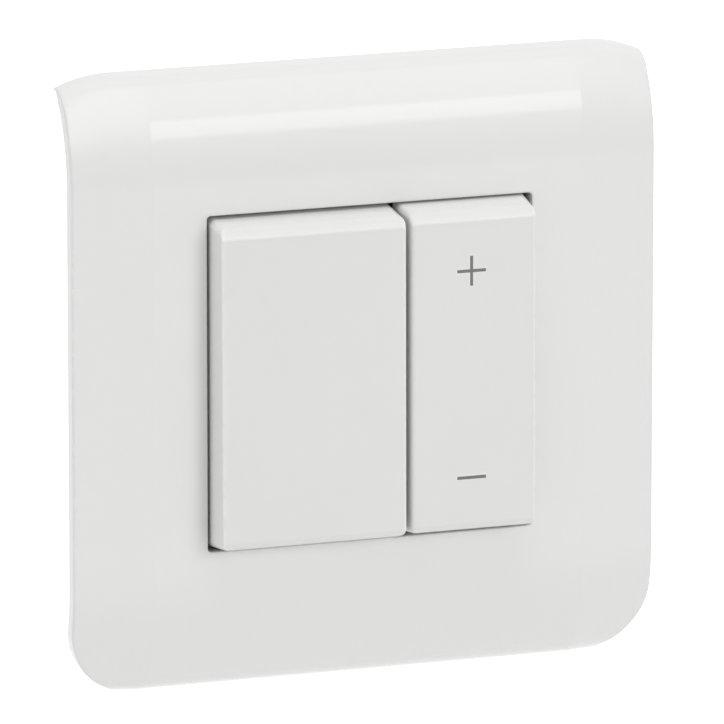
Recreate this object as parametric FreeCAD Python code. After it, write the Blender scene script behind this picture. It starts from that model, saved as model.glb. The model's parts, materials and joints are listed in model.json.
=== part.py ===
import FreeCAD, Part
import math
import os

# A dimmer insert for a wall box, with the wall plate that frames it.
# X points right, Z up, the room lies at -Y and the wall box at +Y.
# The origin is on the wall face, at the middle of the plate's square opening.
# All sizes are in millimetres.

# Wall plate
opening = 45.0  # width and height of the square opening
opening_corner = 0.4  # corner radius of the opening
plate_half_width = 40.4  # middle of the opening to either side edge
plate_top = 40.65  # middle of the opening to the top edge
plate_bottom = 42.15  # middle of the opening to the bottom edge
plate_depth = 9.0  # wall to the flat front of the plate
plate_wall = 2.2  # thickness of the moulded plate
bow_reach_top = 14.05  # the plate bows back over this much of its top and bottom
bow_reach_bottom = 15.55
bow_radius = 26.2
curl_radius_top = 2.6  # tighter bend into the top rim
curl_radius_bottom = 5.15  # tighter bend into the bottom rim
bevel_width = 10.5  # the bevel along each side
bevel_fall = 1.9  # how far the bevels fall back at the side edges
top_arc_start = 33.0  # the top edge falls off along an arc from here to the side edges
top_arc_radius = 18.0
corner_bottom = 9.8
skirt_gap = 1.0  # the hidden skirt stands this far outside the support frame
skirt_wall = 1.2
lip_wall = 1.5  # collar behind the opening's edge
clip_x = 15.0  # the plate's four snap legs
clip_inset = 4.9  # support frame's edge to the inner face of a leg
clip_width = 6.0
clip_thickness = 1.5
clip_hook = 0.6
clip_hook_height = 0.7

# Support frame screwed to the wall box
support_rim = 2.0  # outside the ends of the screw slots
support_corner = 6.0
support_thickness = 2.5
screw_spacing = 60.0  # between the wall box's screws
slot_width = 4.2
slot_length = 7.0

# Insert frame that snaps into the support
collar_margin = 0.2  # around the collar, inside the plate's opening
collar_wall = 1.2
flange_reach = 2.8
flange_thickness = 1.0
flange_span = 36.0
catch_reach = 1.2
catch_thickness = 0.85
catch_span = 8.0
floor_front = 1.6  # wall to the front of the guide floor
floor_thickness = 1.2
frame_rear = 1.0  # how far the insert frame reaches behind the wall face

# Key caps
key_side_margin = 0.35  # opening's left edge to the on-off key
key_outer_margin = 0.7  # dimming key to the opening's right edge
key_end_margin = 0.3  # opening's top and bottom edges to the keys
key_drop = 1.6  # room behind the rims of the keys for their travel
dimming_width = 17.9
keys_gap = 0.6
key_skirt = 2.0  # how far the key sides reach behind the plate's front
key_rise_top = 4.95  # how far the keys stand in front of the plate
key_rise_bottom = 5.25
key_edge_rise = 4.3  # where the sloping band under the top face starts
key_edge_fall = 0.6
key_band_fall = 1.7  # lower edge of the sloping band
key_bottom_taper = 0.95
key_side_taper = 0.2
on_off_outer_taper = 0.05
dimming_outer_taper = 0.6  # the right side of the dimming key leans more
cap_wall = 1.2
cap_front_wall = 1.3
cap_corner = 0.5
post_radius = 1.5  # posts that join a cap to its rocker
post_tip_radius = 1.0
post_side_inset = 3.6  # rocker's sides to its posts
post_bottom_inset = 7.2
post_top_inset = 10.8
mark_size = 4.0  # the plus and minus marks
mark_line = 0.42
mark_depth = 0.25
mark_proud = 0.02
mark_shift = 0.4  # the marks sit left of the middle of the dimming key
plus_height = 13.8
minus_height = 13.95

# Rockers under the caps
rocker_front = 6.6  # wall to the rocker's front face
rocker_thickness = 1.2
pivot_depth = 5.0  # wall to the pivot axes
pivot_inset = 3.6  # collar's inner face to the on-off pivot
trunnion_radius = 1.2
trunnion_length = 1.3
bearing_clearance = 0.05
web_thickness = 1.6
web_cover = 0.5  # web left behind each trunnion
web_half_height = 2.2
lug_thickness = 1.6
lug_half_height = 2.6
snap_slot = 1.9  # mouth of each snap-in bearing
presser_radius = 1.2
touch_gap = 0.05  # between a presser and the stem under it
fit_gap = 0.3  # between neighbours that only pass each other

# Push switches on the control board
on_off_arm = 14.0  # pivot to the on-off stem
dimming_arm = 11.0  # pivot to the plus and minus stems
switch_size = 6.0
switch_height = 3.5
switch_shell = 0.5
stem_radius = 1.75
stem_front = 3.2  # wall to the end of each stem
stem_shoulder_radius = 2.2
stem_shoulder = 0.6
stem_nose_radius = 0.9
stem_travel = 0.4
guide_clearance = 0.05
dome_thickness = 0.1
dome_rise = 0.85

# Boards
board_margin = 0.8  # board's side edges to the housing's walls
board_end_gap = 0.55  # board's ends to the screw tubes
board_thickness = 1.6
board_pitch = 7.6  # control board to power board
part_gap = 0.4  # between neighbours on a board
spacer_radius = 1.4
spacer_inset = 1.55  # board's edges to the spacers
pin_pitch = 2.54
pin_count = 6
pin_radius = 0.32
pin_tail = 1.0
hole_clearance = 0.05  # around pins, posts and screws
header_depth = 2.5
header_inset = 1.1  # board's left edge to the header
chip_size = 7.0
chip_height = 1.0
chip_gap = 1.0  # on-off switch to the chip
small_part_length = 1.6
small_part_width = 0.8
small_part_height = 0.6
small_part_columns = 5
small_part_rows = 2
small_part_pitch = 2.8
rectifier_width = 8.5
rectifier_height = 6.2
rectifier_depth = 2.6

# Power parts behind the power board
sink_width = 25.2
sink_thickness = 2.0
sink_length = 13.6
sink_gap = 1.2  # under the housing's upper wall
pad_thickness = 0.3
transistor_x = 6.2
transistor_width = 10.0
transistor_thickness = 4.4
transistor_length = 9.0
tab_thickness = 1.3
tab_length = 5.6
leg_size = 0.8
leg_length = 4.0
leg_pitch = 2.54
tab_screw_radius = 1.4
tab_head_radius = 2.4
tab_head_height = 1.4
core_outer = 6.8
core_inner = 3.6
core_height = 6.0
wire_layer = 1.1
film_width = 14.0
film_height = 6.0
film_length = 10.0
can_radius = 3.2
can_length = 11.0
can_count = 2
groove_radius = 0.35
groove_height = 1.5
varistor_radius = 2.6
varistor_length = 7.0
fuse_radius = 2.5
fuse_length = 8.0

# Terminals
terminal_pitch = 9.0
terminal_count = 4
wire_radius = 1.75
cage_bore = 1.9
cage_width = 6.4
cage_height = 6.2
cage_length = 6.5
cage_leg_width = 3.0
cage_leg_thickness = 0.8
block_wall = 1.2
block_margin = 0.1
block_end_gap = 0.15  # terminal block to the screw tube beside it
terminal_screw_radius = 1.4
terminal_head_radius = 2.3
terminal_head_height = 1.5
driver_hole_radius = 2.6
drive_slot_width = 0.6
drive_slot_depth = 0.6

# Rear housing
housing_inset = 0.8  # the housing stands this far inside the collar
housing_room = 0.8  # behind the longest part on the power board
housing_wall = 1.5
housing_corner = 2.0
screw_radius = 1.1
screw_tube_radius = 1.9
tube_merge = 0.15  # how far the screw tubes run into the walls
screw_head_radius = 2.1
screw_head_height = 1.2

# Cutting shapes run this far past what they cut
overrun = 1.0
bevel_overrun = 1.25

# Plate, support and collar
half_opening = opening / 2
front_y = -plate_depth
crease_x = plate_half_width - bevel_width
plate_ends = {
    1: (plate_top, plate_top - bow_reach_top, curl_radius_top),
    -1: (plate_bottom, plate_bottom - bow_reach_bottom, curl_radius_bottom),
}
support_half = (screw_spacing + slot_length) / 2 + support_rim
support_y = -support_thickness
clip_z = support_half - clip_inset
flange_y = support_y - flange_thickness
lip_end = flange_y - fit_gap
collar_half = half_opening - collar_margin
collar_inner = collar_half - collar_wall
floor_y = -floor_front
floor_rear = floor_y + floor_thickness
corners = [(side, up) for side in (-1, 1) for up in (-1, 1)]

# Keys and rockers
on_off_left = -half_opening + key_side_margin
dimming_right = half_opening - key_outer_margin
dimming_left = dimming_right - dimming_width
on_off_right = dimming_left - keys_gap
key_half_height = half_opening - key_end_margin
key_rear = front_y + key_skirt
collar_y = key_rear + key_drop
rib_x = (on_off_right + dimming_left) / 2
rib_half = keys_gap / 2 + cap_wall
on_off_lugs = (-collar_inner, rib_x - rib_half)
dimming_lugs = (rib_x + rib_half, collar_inner)
pivot_y = -pivot_depth
on_off_pivot_z = collar_inner - pivot_inset
rocker_y = -rocker_front
rocker_rear = rocker_y + rocker_thickness

# Housing outline and boards
board_y = floor_rear + fit_gap + switch_height
board_rear = board_y + board_thickness
power_y = board_y + board_pitch
power_rear = power_y + board_thickness
housing_half = collar_half - housing_inset
housing_inner = housing_half - housing_wall
screw_offset = housing_inner - screw_tube_radius + tube_merge
screw_places = [(-screw_offset, screw_offset), (screw_offset, -screw_offset)]
board_half_width = housing_inner - board_margin
board_half_height = screw_offset - screw_tube_radius - board_end_gap
spacer_x = board_half_width - spacer_inset
spacer_z = board_half_height - spacer_inset
header_left = -board_half_width + header_inset
header_half = pin_count * pin_pitch / 2
header_z = -spacer_z + spacer_radius + part_gap + header_depth / 2
pin_xs = [header_left + (number + 0.5) * pin_pitch for number in range(pin_count)]

# Transistors, which set the depth of the housing
sink_top = housing_inner - sink_gap
sink_low = sink_top - sink_thickness
pad_low = sink_low - pad_thickness
transistor_y = power_rear + leg_length
tab_y = transistor_y + transistor_length
tab_end = tab_y + tab_length
tab_screw_y = tab_y + tab_length / 2
housing_floor = tab_end + housing_room
housing_rear = housing_floor + housing_wall

# Terminals
block_low = -screw_offset + screw_tube_radius + block_end_gap
cage_low = block_low + block_wall
cage_top = cage_low + cage_height
block_top = cage_top + block_margin + block_wall
cage_rear = housing_floor - block_wall - block_margin
cage_front = cage_rear - cage_length
cage_y = (cage_front + cage_rear) / 2
terminal_z = (cage_low + cage_top) / 2
terminal_xs = [(number - (terminal_count - 1) / 2) * terminal_pitch for number in range(terminal_count)]

# Other parts on the power board
winding_radius = core_outer + hole_clearance + wire_layer
core_y = power_rear + wire_layer + hole_clearance
choke_x = -board_half_width + part_gap + winding_radius
choke_z = block_top + part_gap + winding_radius
film_x = board_half_width - part_gap - film_width / 2
film_z = block_top + part_gap + film_height / 2
can_z = film_z + film_height / 2 + part_gap + can_radius
varistor_x = choke_x + winding_radius + part_gap + varistor_radius
can_x = varistor_x + varistor_radius + part_gap + can_radius
fuse_x = board_half_width - part_gap - fuse_radius
fuse_z = can_z + can_radius + part_gap + fuse_radius


def vector(x, y, z):
    return FreeCAD.Vector(x, y, z)


def around(middle, half):
    """The span that reaches half to either side of the middle."""
    return middle - half, middle + half


def box(xs, ys, zs):
    """A box from its spans along X, Y and Z."""
    corner = vector(xs[0], ys[0], zs[0])
    return Part.makeBox(xs[1] - xs[0], ys[1] - ys[0], zs[1] - zs[0], corner)


def rod_x(y, z, xs, radius):
    return Part.makeCylinder(radius, xs[1] - xs[0], vector(xs[0], y, z), vector(1, 0, 0))


def rod_y(x, z, ys, radius):
    return Part.makeCylinder(radius, ys[1] - ys[0], vector(x, ys[0], z), vector(0, 1, 0))


def rod_z(x, y, zs, radius):
    return Part.makeCylinder(radius, zs[1] - zs[0], vector(x, y, zs[0]), vector(0, 0, 1))


def joined(shapes):
    """One solid from shapes that touch or overlap."""
    return shapes[0].fuse(shapes[1:]).removeSplitter()


def prism(points, travel):
    """A closed polygon through the points, swept along travel."""
    wire = Part.makePolygon(points + [points[0]])
    return Part.Face(wire).extrude(travel)


def rounded_prism(xs, zs, ys, radius_bottom, radius_top):
    """A block seen from the front as a rectangle with round corners."""
    places = [(xs[1], zs[0], radius_bottom, 1, -1), (xs[1], zs[1], radius_top, 1, 1)]
    places += [(xs[0], zs[1], radius_top, -1, 1), (xs[0], zs[0], radius_bottom, -1, -1)]
    ends = []
    arcs = []
    for number, (x, z, radius, side, up) in enumerate(places):
        centre_x = x - side * radius
        centre_z = z - up * radius
        on_x = vector(centre_x, ys[0], z)
        on_z = vector(x, ys[0], centre_z)
        slant = radius * math.sqrt(0.5)
        middle = vector(centre_x + side * slant, ys[0], centre_z + up * slant)
        first, last = (on_x, on_z) if number % 2 == 0 else (on_z, on_x)
        arcs.append(Part.Arc(first, middle, last).toShape())
        ends.append((first, last))
    edges = []
    for number, arc in enumerate(arcs):
        following = ends[(number + 1) % len(ends)][0]
        edges.append(arc)
        edges.append(Part.makeLine(ends[number][1], following))
    return Part.Face(Part.Wire(edges)).extrude(vector(0, ys[1] - ys[0], 0))


def square_prism(half, ys, radius):
    return rounded_prism((-half, half), (-half, half), ys, radius, radius)


def square_box(half, ys):
    return box((-half, half), ys, (-half, half))


def outer_half(sign, x):
    """Edges of the plate's outer line, from the flat part to the top or bottom rim."""
    reach, flat, curl = plate_ends[sign]
    lean = math.asin((reach - curl - flat) / (bow_radius - curl))

    def bow_point(angle):
        y = front_y + bow_radius - bow_radius * math.cos(angle)
        return vector(x, y, sign * (flat + bow_radius * math.sin(angle)))

    def curl_point(angle):
        y = front_y + bow_radius - (bow_radius - curl) * math.cos(lean) - curl * math.cos(angle)
        return vector(x, y, sign * (reach - curl + curl * math.sin(angle)))

    quarter = math.pi / 2
    bow = Part.Arc(bow_point(0), bow_point(lean / 2), bow_point(lean)).toShape()
    curled = Part.Arc(curl_point(lean), curl_point((lean + quarter) / 2), curl_point(quarter)).toShape()
    rim = Part.makeLine(curl_point(quarter), vector(x, overrun, sign * reach))
    return [bow, curled, rim]


def inner_half(sign, x):
    """Edges of the plate's inner line, from the flat part to the top or bottom rim."""
    outer_reach, flat, _ = plate_ends[sign]
    reach = outer_reach - plate_wall
    radius = bow_radius - plate_wall
    lean = math.asin((reach - flat) / radius)

    def bow_point(angle):
        y = front_y + bow_radius - radius * math.cos(angle)
        return vector(x, y, sign * (flat + radius * math.sin(angle)))

    bow = Part.Arc(bow_point(0), bow_point(lean / 2), bow_point(lean)).toShape()
    rim = Part.makeLine(bow_point(lean), vector(x, overrun, sign * reach))
    return [bow, rim]


def bow_face(x, half_line):
    """The plate's bowed side view at x, drawn by half_line and closed behind the wall face."""
    up = half_line(1, x)
    down = half_line(-1, x)
    front = Part.makeLine(down[0].Vertexes[0].Point, up[0].Vertexes[0].Point)
    back = Part.makeLine(up[-1].Vertexes[-1].Point, down[-1].Vertexes[-1].Point)
    return Part.Face(Part.Wire(Part.__sortEdges__([front, back] + up + down)))


def bowed_block(half_line):
    """All the room under the plate's outer or inner surface, side bevels included."""
    reach = bevel_overrun * bevel_width
    fall = bevel_overrun * bevel_fall
    middle = bow_face(-crease_x, half_line).extrude(vector(2 * crease_x, 0, 0))
    right = bow_face(crease_x, half_line).extrude(vector(reach, fall, 0))
    left = bow_face(-crease_x, half_line).extrude(vector(-reach, fall, 0))
    return joined([middle, right, left])


def clip_legs(margin, y0, hook_y, y1):
    """The plate's four hooked legs or, with a margin, the windows that they pass through."""
    legs = []
    near = clip_z - margin
    far = clip_z + clip_thickness + margin
    for side, up in corners:
        xs = around(side * clip_x, clip_width / 2 + margin)
        legs.append(box(xs, (y0, y1), sorted([up * near, up * far])))
        legs.append(box(xs, (hook_y, y1), sorted([up * near, up * (far + clip_hook)])))
    return legs


def make_wall_plate():
    """The bowed plate with bevelled sides, a skirt round the support, a collar and snap legs."""
    under = bowed_block(outer_half)
    ys = (front_y - overrun, 0)
    zs = (-plate_bottom, plate_top + 2 * corner_bottom)
    outline = rounded_prism((-plate_half_width, plate_half_width), zs, ys, corner_bottom, corner_bottom)
    arc_xs = around(0, top_arc_start + top_arc_radius)
    arc_zs = (-plate_bottom - overrun, plate_top)
    outline = outline.common(rounded_prism(arc_xs, arc_zs, ys, corner_bottom, top_arc_radius))
    sheet = under.cut(bowed_block(inner_half)).common(outline)
    skirt_half = support_half + skirt_gap
    skirt_corner = support_corner + skirt_gap
    skirt = square_prism(skirt_half + skirt_wall, (front_y, 0), skirt_corner + skirt_wall)
    skirt = skirt.cut(square_prism(skirt_half, (front_y, 0), skirt_corner)).common(under)
    root_y = front_y + plate_wall / 2
    lip = square_prism(half_opening + lip_wall, (root_y, lip_end), opening_corner)
    leg_end = -fit_gap
    legs = clip_legs(0, root_y, leg_end - clip_hook_height, leg_end)
    whole = joined([sheet, skirt, lip] + [leg.common(under) for leg in legs])
    return whole.cut(square_prism(half_opening, (front_y - overrun, 0), opening_corner))


def make_support_frame():
    """The flat frame screwed to the wall box, with slots, clip windows and a square opening."""
    ys = (support_y, 0)
    whole = square_prism(support_half, ys, support_corner)
    cuts = [square_box(collar_half + fit_gap, ys)]
    radius = slot_width / 2
    run = (slot_length - slot_width) / 2
    for side in (-1, 1):
        centre = side * screw_spacing / 2
        for end in around(centre, run):
            cuts.append(rod_y(end, 0, ys, radius))
            cuts.append(rod_y(0, end, ys, radius))
        cuts.append(box(around(centre, run), ys, around(0, radius)))
        cuts.append(box(around(0, radius), ys, around(centre, run)))
    hook_y = -clip_hook_height - 2 * fit_gap
    return whole.cut(cuts + clip_legs(fit_gap, support_y, hook_y, 0))


def rocker_ends(lugs):
    """Left and right ends of the rocker between two bearing lugs, whose outer faces are given."""
    return lugs[0] + lug_thickness + fit_gap, lugs[1] - lug_thickness - fit_gap


on_off_centre = sum(rocker_ends(on_off_lugs)) / 2
dimming_centre = sum(rocker_ends(dimming_lugs)) / 2
switch_places = {
    "on_off": (on_off_centre, on_off_pivot_z - on_off_arm),
    "plus": (dimming_centre, dimming_arm),
    "minus": (dimming_centre, -dimming_arm),
}


def bearing_lugs(lugs, pivot_z):
    """Two lugs with snap-in bearings for the trunnions of one rocker."""
    shapes = []
    for x in (lugs[0], lugs[1] - lug_thickness):
        xs = (x, x + lug_thickness)
        lug = box(xs, (rocker_y, floor_rear), around(pivot_z, lug_half_height))
        bore = rod_x(pivot_y, pivot_z, xs, trunnion_radius + bearing_clearance)
        mouth = box(xs, (rocker_y, pivot_y), around(pivot_z, snap_slot / 2))
        shapes.append(lug.cut([bore, mouth]))
    return shapes


def make_insert_frame():
    """The square frame that snaps into the support and carries the keys, switches and boards."""
    outline = square_prism(collar_half, (collar_y, frame_rear), opening_corner)
    shapes = [outline.cut(square_box(collar_inner, (collar_y, frame_rear)))]
    rib = box(around(rib_x, rib_half), (collar_y, floor_rear), (-collar_half, collar_half))
    shapes.append(rib.common(outline))
    shapes.append(square_box(collar_inner, (floor_y, floor_rear)))
    reach = collar_half + flange_reach
    flange_ys = (flange_y, support_y)
    flange = box((-reach, reach), flange_ys, around(0, flange_span / 2))
    flange = flange.fuse(box(around(0, flange_span / 2), flange_ys, (-reach, reach)))
    shapes.append(flange.cut(square_box(collar_inner, flange_ys)))
    hook = collar_half + catch_reach
    catch_ys = (frame_rear - catch_thickness, frame_rear)
    catch = box((-hook, hook), catch_ys, around(0, catch_span / 2))
    shapes.append(catch.cut(square_box(collar_inner, catch_ys)))
    shapes += bearing_lugs(on_off_lugs, on_off_pivot_z)
    shapes += bearing_lugs(dimming_lugs, 0)
    for side, up in corners:
        shapes.append(rod_y(side * spacer_x, up * spacer_z, (floor_y, board_y), spacer_radius))
    guide = stem_radius + guide_clearance
    cuts = [rod_y(x, z, (floor_y, floor_rear), guide) for x, z in switch_places.values()]
    for x, z in screw_places:
        shapes.append(rod_y(x, z, (floor_y, frame_rear), screw_tube_radius))
        cuts.append(rod_y(x, z, (floor_y, frame_rear), screw_radius + hole_clearance))
    return joined(shapes).cut(cuts)


def cap_block(xs, tapers, inset, front_inset):
    """The block of a key cap, drawn in by inset at its sides and by front_inset at its front."""
    front = front_y + front_inset
    height = key_half_height - inset
    side_view = [
        vector(xs[0], key_rear, height),
        vector(xs[0], front - key_edge_rise, height - key_edge_fall),
        vector(xs[0], front - key_rise_top, height - key_band_fall),
        vector(xs[0], front - key_rise_bottom, -height + key_bottom_taper),
        vector(xs[0], key_rear, -height),
    ]
    block = prism(side_view, vector(xs[1] - xs[0], 0, 0))
    tallest = front_y - max(key_rise_top, key_rise_bottom)
    top_view = [
        vector(xs[0] + inset, key_rear, -half_opening),
        vector(xs[1] - inset, key_rear, -half_opening),
        vector(xs[1] - inset - tapers[1], tallest, -half_opening),
        vector(xs[0] + inset + tapers[0], tallest, -half_opening),
    ]
    return block.common(prism(top_view, vector(0, 0, opening)))


def spans_depth(edge):
    """True for an edge that runs from a cap's rear rim towards its front."""
    ys = sorted(vertex.Point.y for vertex in edge.Vertexes)
    return ys[0] < front_y < ys[-1]


def key_front_y(z):
    """Y of the keys' sloping front face at height z."""
    upper = key_half_height - key_band_fall
    lower = -key_half_height + key_bottom_taper
    share = (upper - z) / (upper - lower)
    return front_y - key_rise_top - share * (key_rise_bottom - key_rise_top)


def post_places(lugs):
    """Where a cap's four posts stand on its rocker."""
    left, right = rocker_ends(lugs)
    heights = (-key_half_height + post_bottom_inset, key_half_height - post_top_inset)
    return [(x, z) for x in (left + post_side_inset, right - post_side_inset) for z in heights]


def make_cap(xs, tapers, lugs):
    """A hollow key cap with four posts that snap into its rocker."""
    outer = cap_block(xs, tapers, 0, 0)
    outer = outer.makeFillet(cap_corner, [edge for edge in outer.Edges if spans_depth(edge)])
    shapes = [outer.cut(cap_block(xs, tapers, cap_wall, cap_front_wall))]
    for x, z in post_places(lugs):
        shapes.append(rod_y(x, z, (key_front_y(z) + cap_front_wall / 2, rocker_y), post_radius))
        shapes.append(rod_y(x, z, (rocker_y, rocker_rear), post_tip_radius))
    return joined(shapes)


def make_rocker(lugs, pivot_z, places):
    """The rocker under a cap: plate, trunnions on two webs, and the nubs that press the stems."""
    left, right = rocker_ends(lugs)
    height = key_half_height - cap_wall - fit_gap
    shapes = [box((left, right), (rocker_y, rocker_rear), (-height, height))]
    web_ys = (rocker_y, pivot_y + trunnion_radius + web_cover)
    for xs in ((left, left + web_thickness), (right - web_thickness, right)):
        shapes.append(box(xs, web_ys, around(pivot_z, web_half_height)))
    reach = fit_gap + trunnion_length
    for xs in ((left - reach, left + web_thickness), (right - web_thickness, right + reach)):
        shapes.append(rod_x(pivot_y, pivot_z, xs, trunnion_radius))
    for x, z in places:
        shapes.append(rod_y(x, z, (rocker_rear, -stem_front - touch_gap), presser_radius))
    hole = post_tip_radius + hole_clearance
    return joined(shapes).cut([rod_y(x, z, (rocker_y, rocker_rear), hole) for x, z in post_places(lugs)])


def mark_bars():
    """The bars of the plus and the minus, let into the dimming key's front and slightly proud."""
    middle_left = dimming_left + key_side_taper
    middle_right = dimming_right - dimming_outer_taper
    x = (middle_left + middle_right) / 2 - mark_shift
    lean = math.degrees(math.atan(key_front_y(0) - key_front_y(1)))

    def bar(half_width, half_height, z):
        y = key_front_y(z)
        shape = box(around(x, half_width), (y - mark_proud, y + mark_depth), around(z, half_height))
        shape.rotate(vector(x, y, z), vector(1, 0, 0), lean)
        return shape

    half = mark_size / 2
    thin = mark_line / 2
    plus = joined([bar(half, thin, plus_height), bar(thin, half, plus_height)])
    return [plus, bar(half, thin, -minus_height)]


def make_switch_housing(x, z):
    """A square push switch body with a round chamber for its stem and dome."""
    half = switch_size / 2
    top = board_y - switch_height
    foot = board_y - switch_shell
    body = box(around(x, half), (top, board_y), around(z, half))
    bore = rod_y(x, z, (top, foot), stem_radius + guide_clearance)
    chamber = rod_y(x, z, (top + switch_shell, foot), stem_shoulder_radius + fit_gap)
    return body.cut([bore, chamber])


def make_stem(x, z):
    """A switch stem with a shoulder that keeps it in and a nose on the dome."""
    shoulder_y = board_y - switch_height + switch_shell + stem_travel + guide_clearance
    shoulder_end = shoulder_y + stem_shoulder
    nose_end = board_y - switch_shell - dome_rise - touch_gap
    shaft = rod_y(x, z, (-stem_front, shoulder_end), stem_radius)
    shoulder = rod_y(x, z, (shoulder_y, shoulder_end), stem_shoulder_radius)
    nose = rod_y(x, z, (shoulder_y, nose_end), stem_nose_radius)
    return joined([shaft, shoulder, nose])


def make_dome(x, z):
    """A snap dome: a shallow sprung metal cap whose rim rests on the switch floor."""
    rim = stem_shoulder_radius
    foot = board_y - switch_shell
    radius = (rim * rim + dome_rise * dome_rise) / (2 * dome_rise)
    centre = vector(x, foot - dome_rise + radius, z)
    shell = Part.makeSphere(radius, centre).cut(Part.makeSphere(radius - dome_thickness, centre))
    return shell.common(rod_y(x, z, (foot - dome_rise, foot), rim))


def make_board(y):
    """A circuit board with holes for the pins that join the boards."""
    ys = (y, y + board_thickness)
    board = box(around(0, board_half_width), ys, around(0, board_half_height))
    return board.cut([rod_y(x, header_z, ys, pin_radius + hole_clearance) for x in pin_xs])


def make_header_body():
    """The plastic strip that holds the header pins between the two boards."""
    ys = (board_rear, power_y)
    body = box((header_left, header_left + 2 * header_half), ys, around(header_z, header_depth / 2))
    return body.cut([rod_y(x, header_z, ys, pin_radius + hole_clearance) for x in pin_xs])


def make_header_pins():
    """Pins that join the two boards."""
    ys = (board_y - pin_tail, power_rear + pin_tail)
    return Part.makeCompound([rod_y(x, header_z, ys, pin_radius) for x in pin_xs])


def make_control_chip():
    """The control chip, above the on-off switch."""
    x, z = switch_places["on_off"]
    low = z + switch_size / 2 + chip_gap
    return box(around(x, chip_size / 2), (board_y - chip_height, board_y), (low, low + chip_size))


def make_chip_components():
    """Rows of small surface parts on the control board, above the header."""
    parts = []
    first_z = header_z + header_depth / 2 + part_gap
    for column in range(small_part_columns):
        x = header_left + column * small_part_pitch
        for row in range(small_part_rows):
            z = first_z + row * small_part_pitch
            ys = (board_y - small_part_height, board_y)
            parts.append(box((x, x + small_part_length), ys, (z, z + small_part_width)))
    return Part.makeCompound(parts)


def make_spacers():
    """Posts that hold the two boards apart."""
    ys = (board_rear, power_y)
    return Part.makeCompound([rod_y(s * spacer_x, up * spacer_z, ys, spacer_radius) for s, up in corners])


def make_heat_sink():
    """The aluminium bar along the top that cools the transistors, with two tapped holes."""
    zs = (sink_low, sink_top)
    bar = box(around(0, sink_width / 2), (tab_end - sink_length, tab_end), zs)
    hole = tab_screw_radius + hole_clearance
    return bar.cut([rod_z(side * transistor_x, tab_screw_y, zs, hole) for side in (-1, 1)])


def make_pads():
    """Insulating pads between the transistors and the bar."""
    pads = []
    zs = (pad_low, sink_low)
    for side in (-1, 1):
        x = side * transistor_x
        pad = box(around(x, transistor_width / 2), (transistor_y, tab_end), zs)
        pads.append(pad.cut(rod_z(x, tab_screw_y, zs, tab_screw_radius + hole_clearance)))
    return Part.makeCompound(pads)


def make_transistors():
    """Two power transistors: body, metal tab and three legs into the power board."""
    transistors = []
    tab_zs = (pad_low - tab_thickness, pad_low)
    leg_zs = around(pad_low - transistor_thickness / 2, leg_size / 2)
    for side in (-1, 1):
        x = side * transistor_x
        xs = around(x, transistor_width / 2)
        body = box(xs, (transistor_y, tab_y), (pad_low - transistor_thickness, pad_low))
        shapes = [body, box(xs, (tab_y, tab_end), tab_zs)]
        for leg_x in (x - leg_pitch, x, x + leg_pitch):
            shapes.append(box(around(leg_x, leg_size / 2), (power_rear, transistor_y), leg_zs))
        hole = rod_z(x, tab_screw_y, tab_zs, tab_screw_radius + hole_clearance)
        transistors.append(joined(shapes).cut(hole))
    return Part.makeCompound(transistors)


def make_transistor_screws():
    """Screws that clamp the transistor tabs to the bar."""
    screws = []
    seat = pad_low - tab_thickness
    for side in (-1, 1):
        x = side * transistor_x
        head = rod_z(x, tab_screw_y, (seat - tab_head_height, seat), tab_head_radius)
        screws.append(joined([head, rod_z(x, tab_screw_y, (seat, sink_top), tab_screw_radius)]))
    return Part.makeCompound(screws)


def choke_ring(ys, outer, inner):
    """A ring about the choke's axis."""
    return rod_y(choke_x, choke_z, ys, outer).cut(rod_y(choke_x, choke_z, ys, inner))


def make_choke_winding():
    """The wire layer round the choke's ring core, as one closed solid."""
    inside_ys = (core_y - hole_clearance, core_y + core_height + hole_clearance)
    outside_ys = (power_rear, inside_ys[1] + wire_layer)
    outside = choke_ring(outside_ys, winding_radius, core_inner - hole_clearance - wire_layer)
    return outside.cut(choke_ring(inside_ys, core_outer + hole_clearance, core_inner - hole_clearance))


def make_cans():
    """Round capacitors standing on the power board, with a rolled groove near the foot."""
    cans = []
    for number in range(can_count):
        x = can_x + number * (2 * can_radius + part_gap)
        can = rod_y(x, can_z, (power_rear, power_rear + can_length), can_radius)
        groove_place = vector(x, power_rear + groove_height, can_z)
        cans.append(can.cut(Part.makeTorus(can_radius, groove_radius, groove_place, vector(0, 1, 0))))
    return Part.makeCompound(cans)


def make_terminal_block():
    """The insulating block with a bay, a wire mouth and a screw way for each terminal."""
    side = cage_width / 2 + block_margin
    half = terminal_xs[-1] + cage_width / 2 + block_wall
    bay_front = cage_front - block_margin
    front = bay_front - block_wall
    block = box((-half, half), (front, housing_floor), (block_low, block_top))
    leg_zs = (cage_top - cage_leg_thickness - block_margin, cage_top + block_margin)
    cuts = []
    for x in terminal_xs:
        cuts.append(box(around(x, side), (bay_front, cage_rear + block_margin), (cage_low, leg_zs[1])))
        cuts.append(box(around(x, cage_leg_width / 2 + block_margin), (front, cage_front), leg_zs))
        cuts.append(rod_y(x, terminal_z, (cage_rear, housing_floor), wire_radius))
        cuts.append(rod_z(x, cage_y, (block_low, cage_low), terminal_head_radius + block_margin))
    return block.cut(cuts)


def make_terminal_clamps():
    """Brass clamp cages, each with a wire bore, a screw hole and a leg to the power board."""
    cages = []
    leg_zs = (cage_top - cage_leg_thickness, cage_top)
    for x in terminal_xs:
        cage = box(around(x, cage_width / 2), (cage_front, cage_rear), (cage_low, cage_top))
        leg = box(around(x, cage_leg_width / 2), (power_rear, cage_front), leg_zs)
        bore = rod_y(x, terminal_z, (cage_front, cage_rear), cage_bore)
        hole = rod_z(x, cage_y, (cage_low, terminal_z), terminal_screw_radius + hole_clearance)
        cages.append(joined([cage, leg]).cut([bore, hole]))
    return Part.makeCompound(cages)


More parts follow.
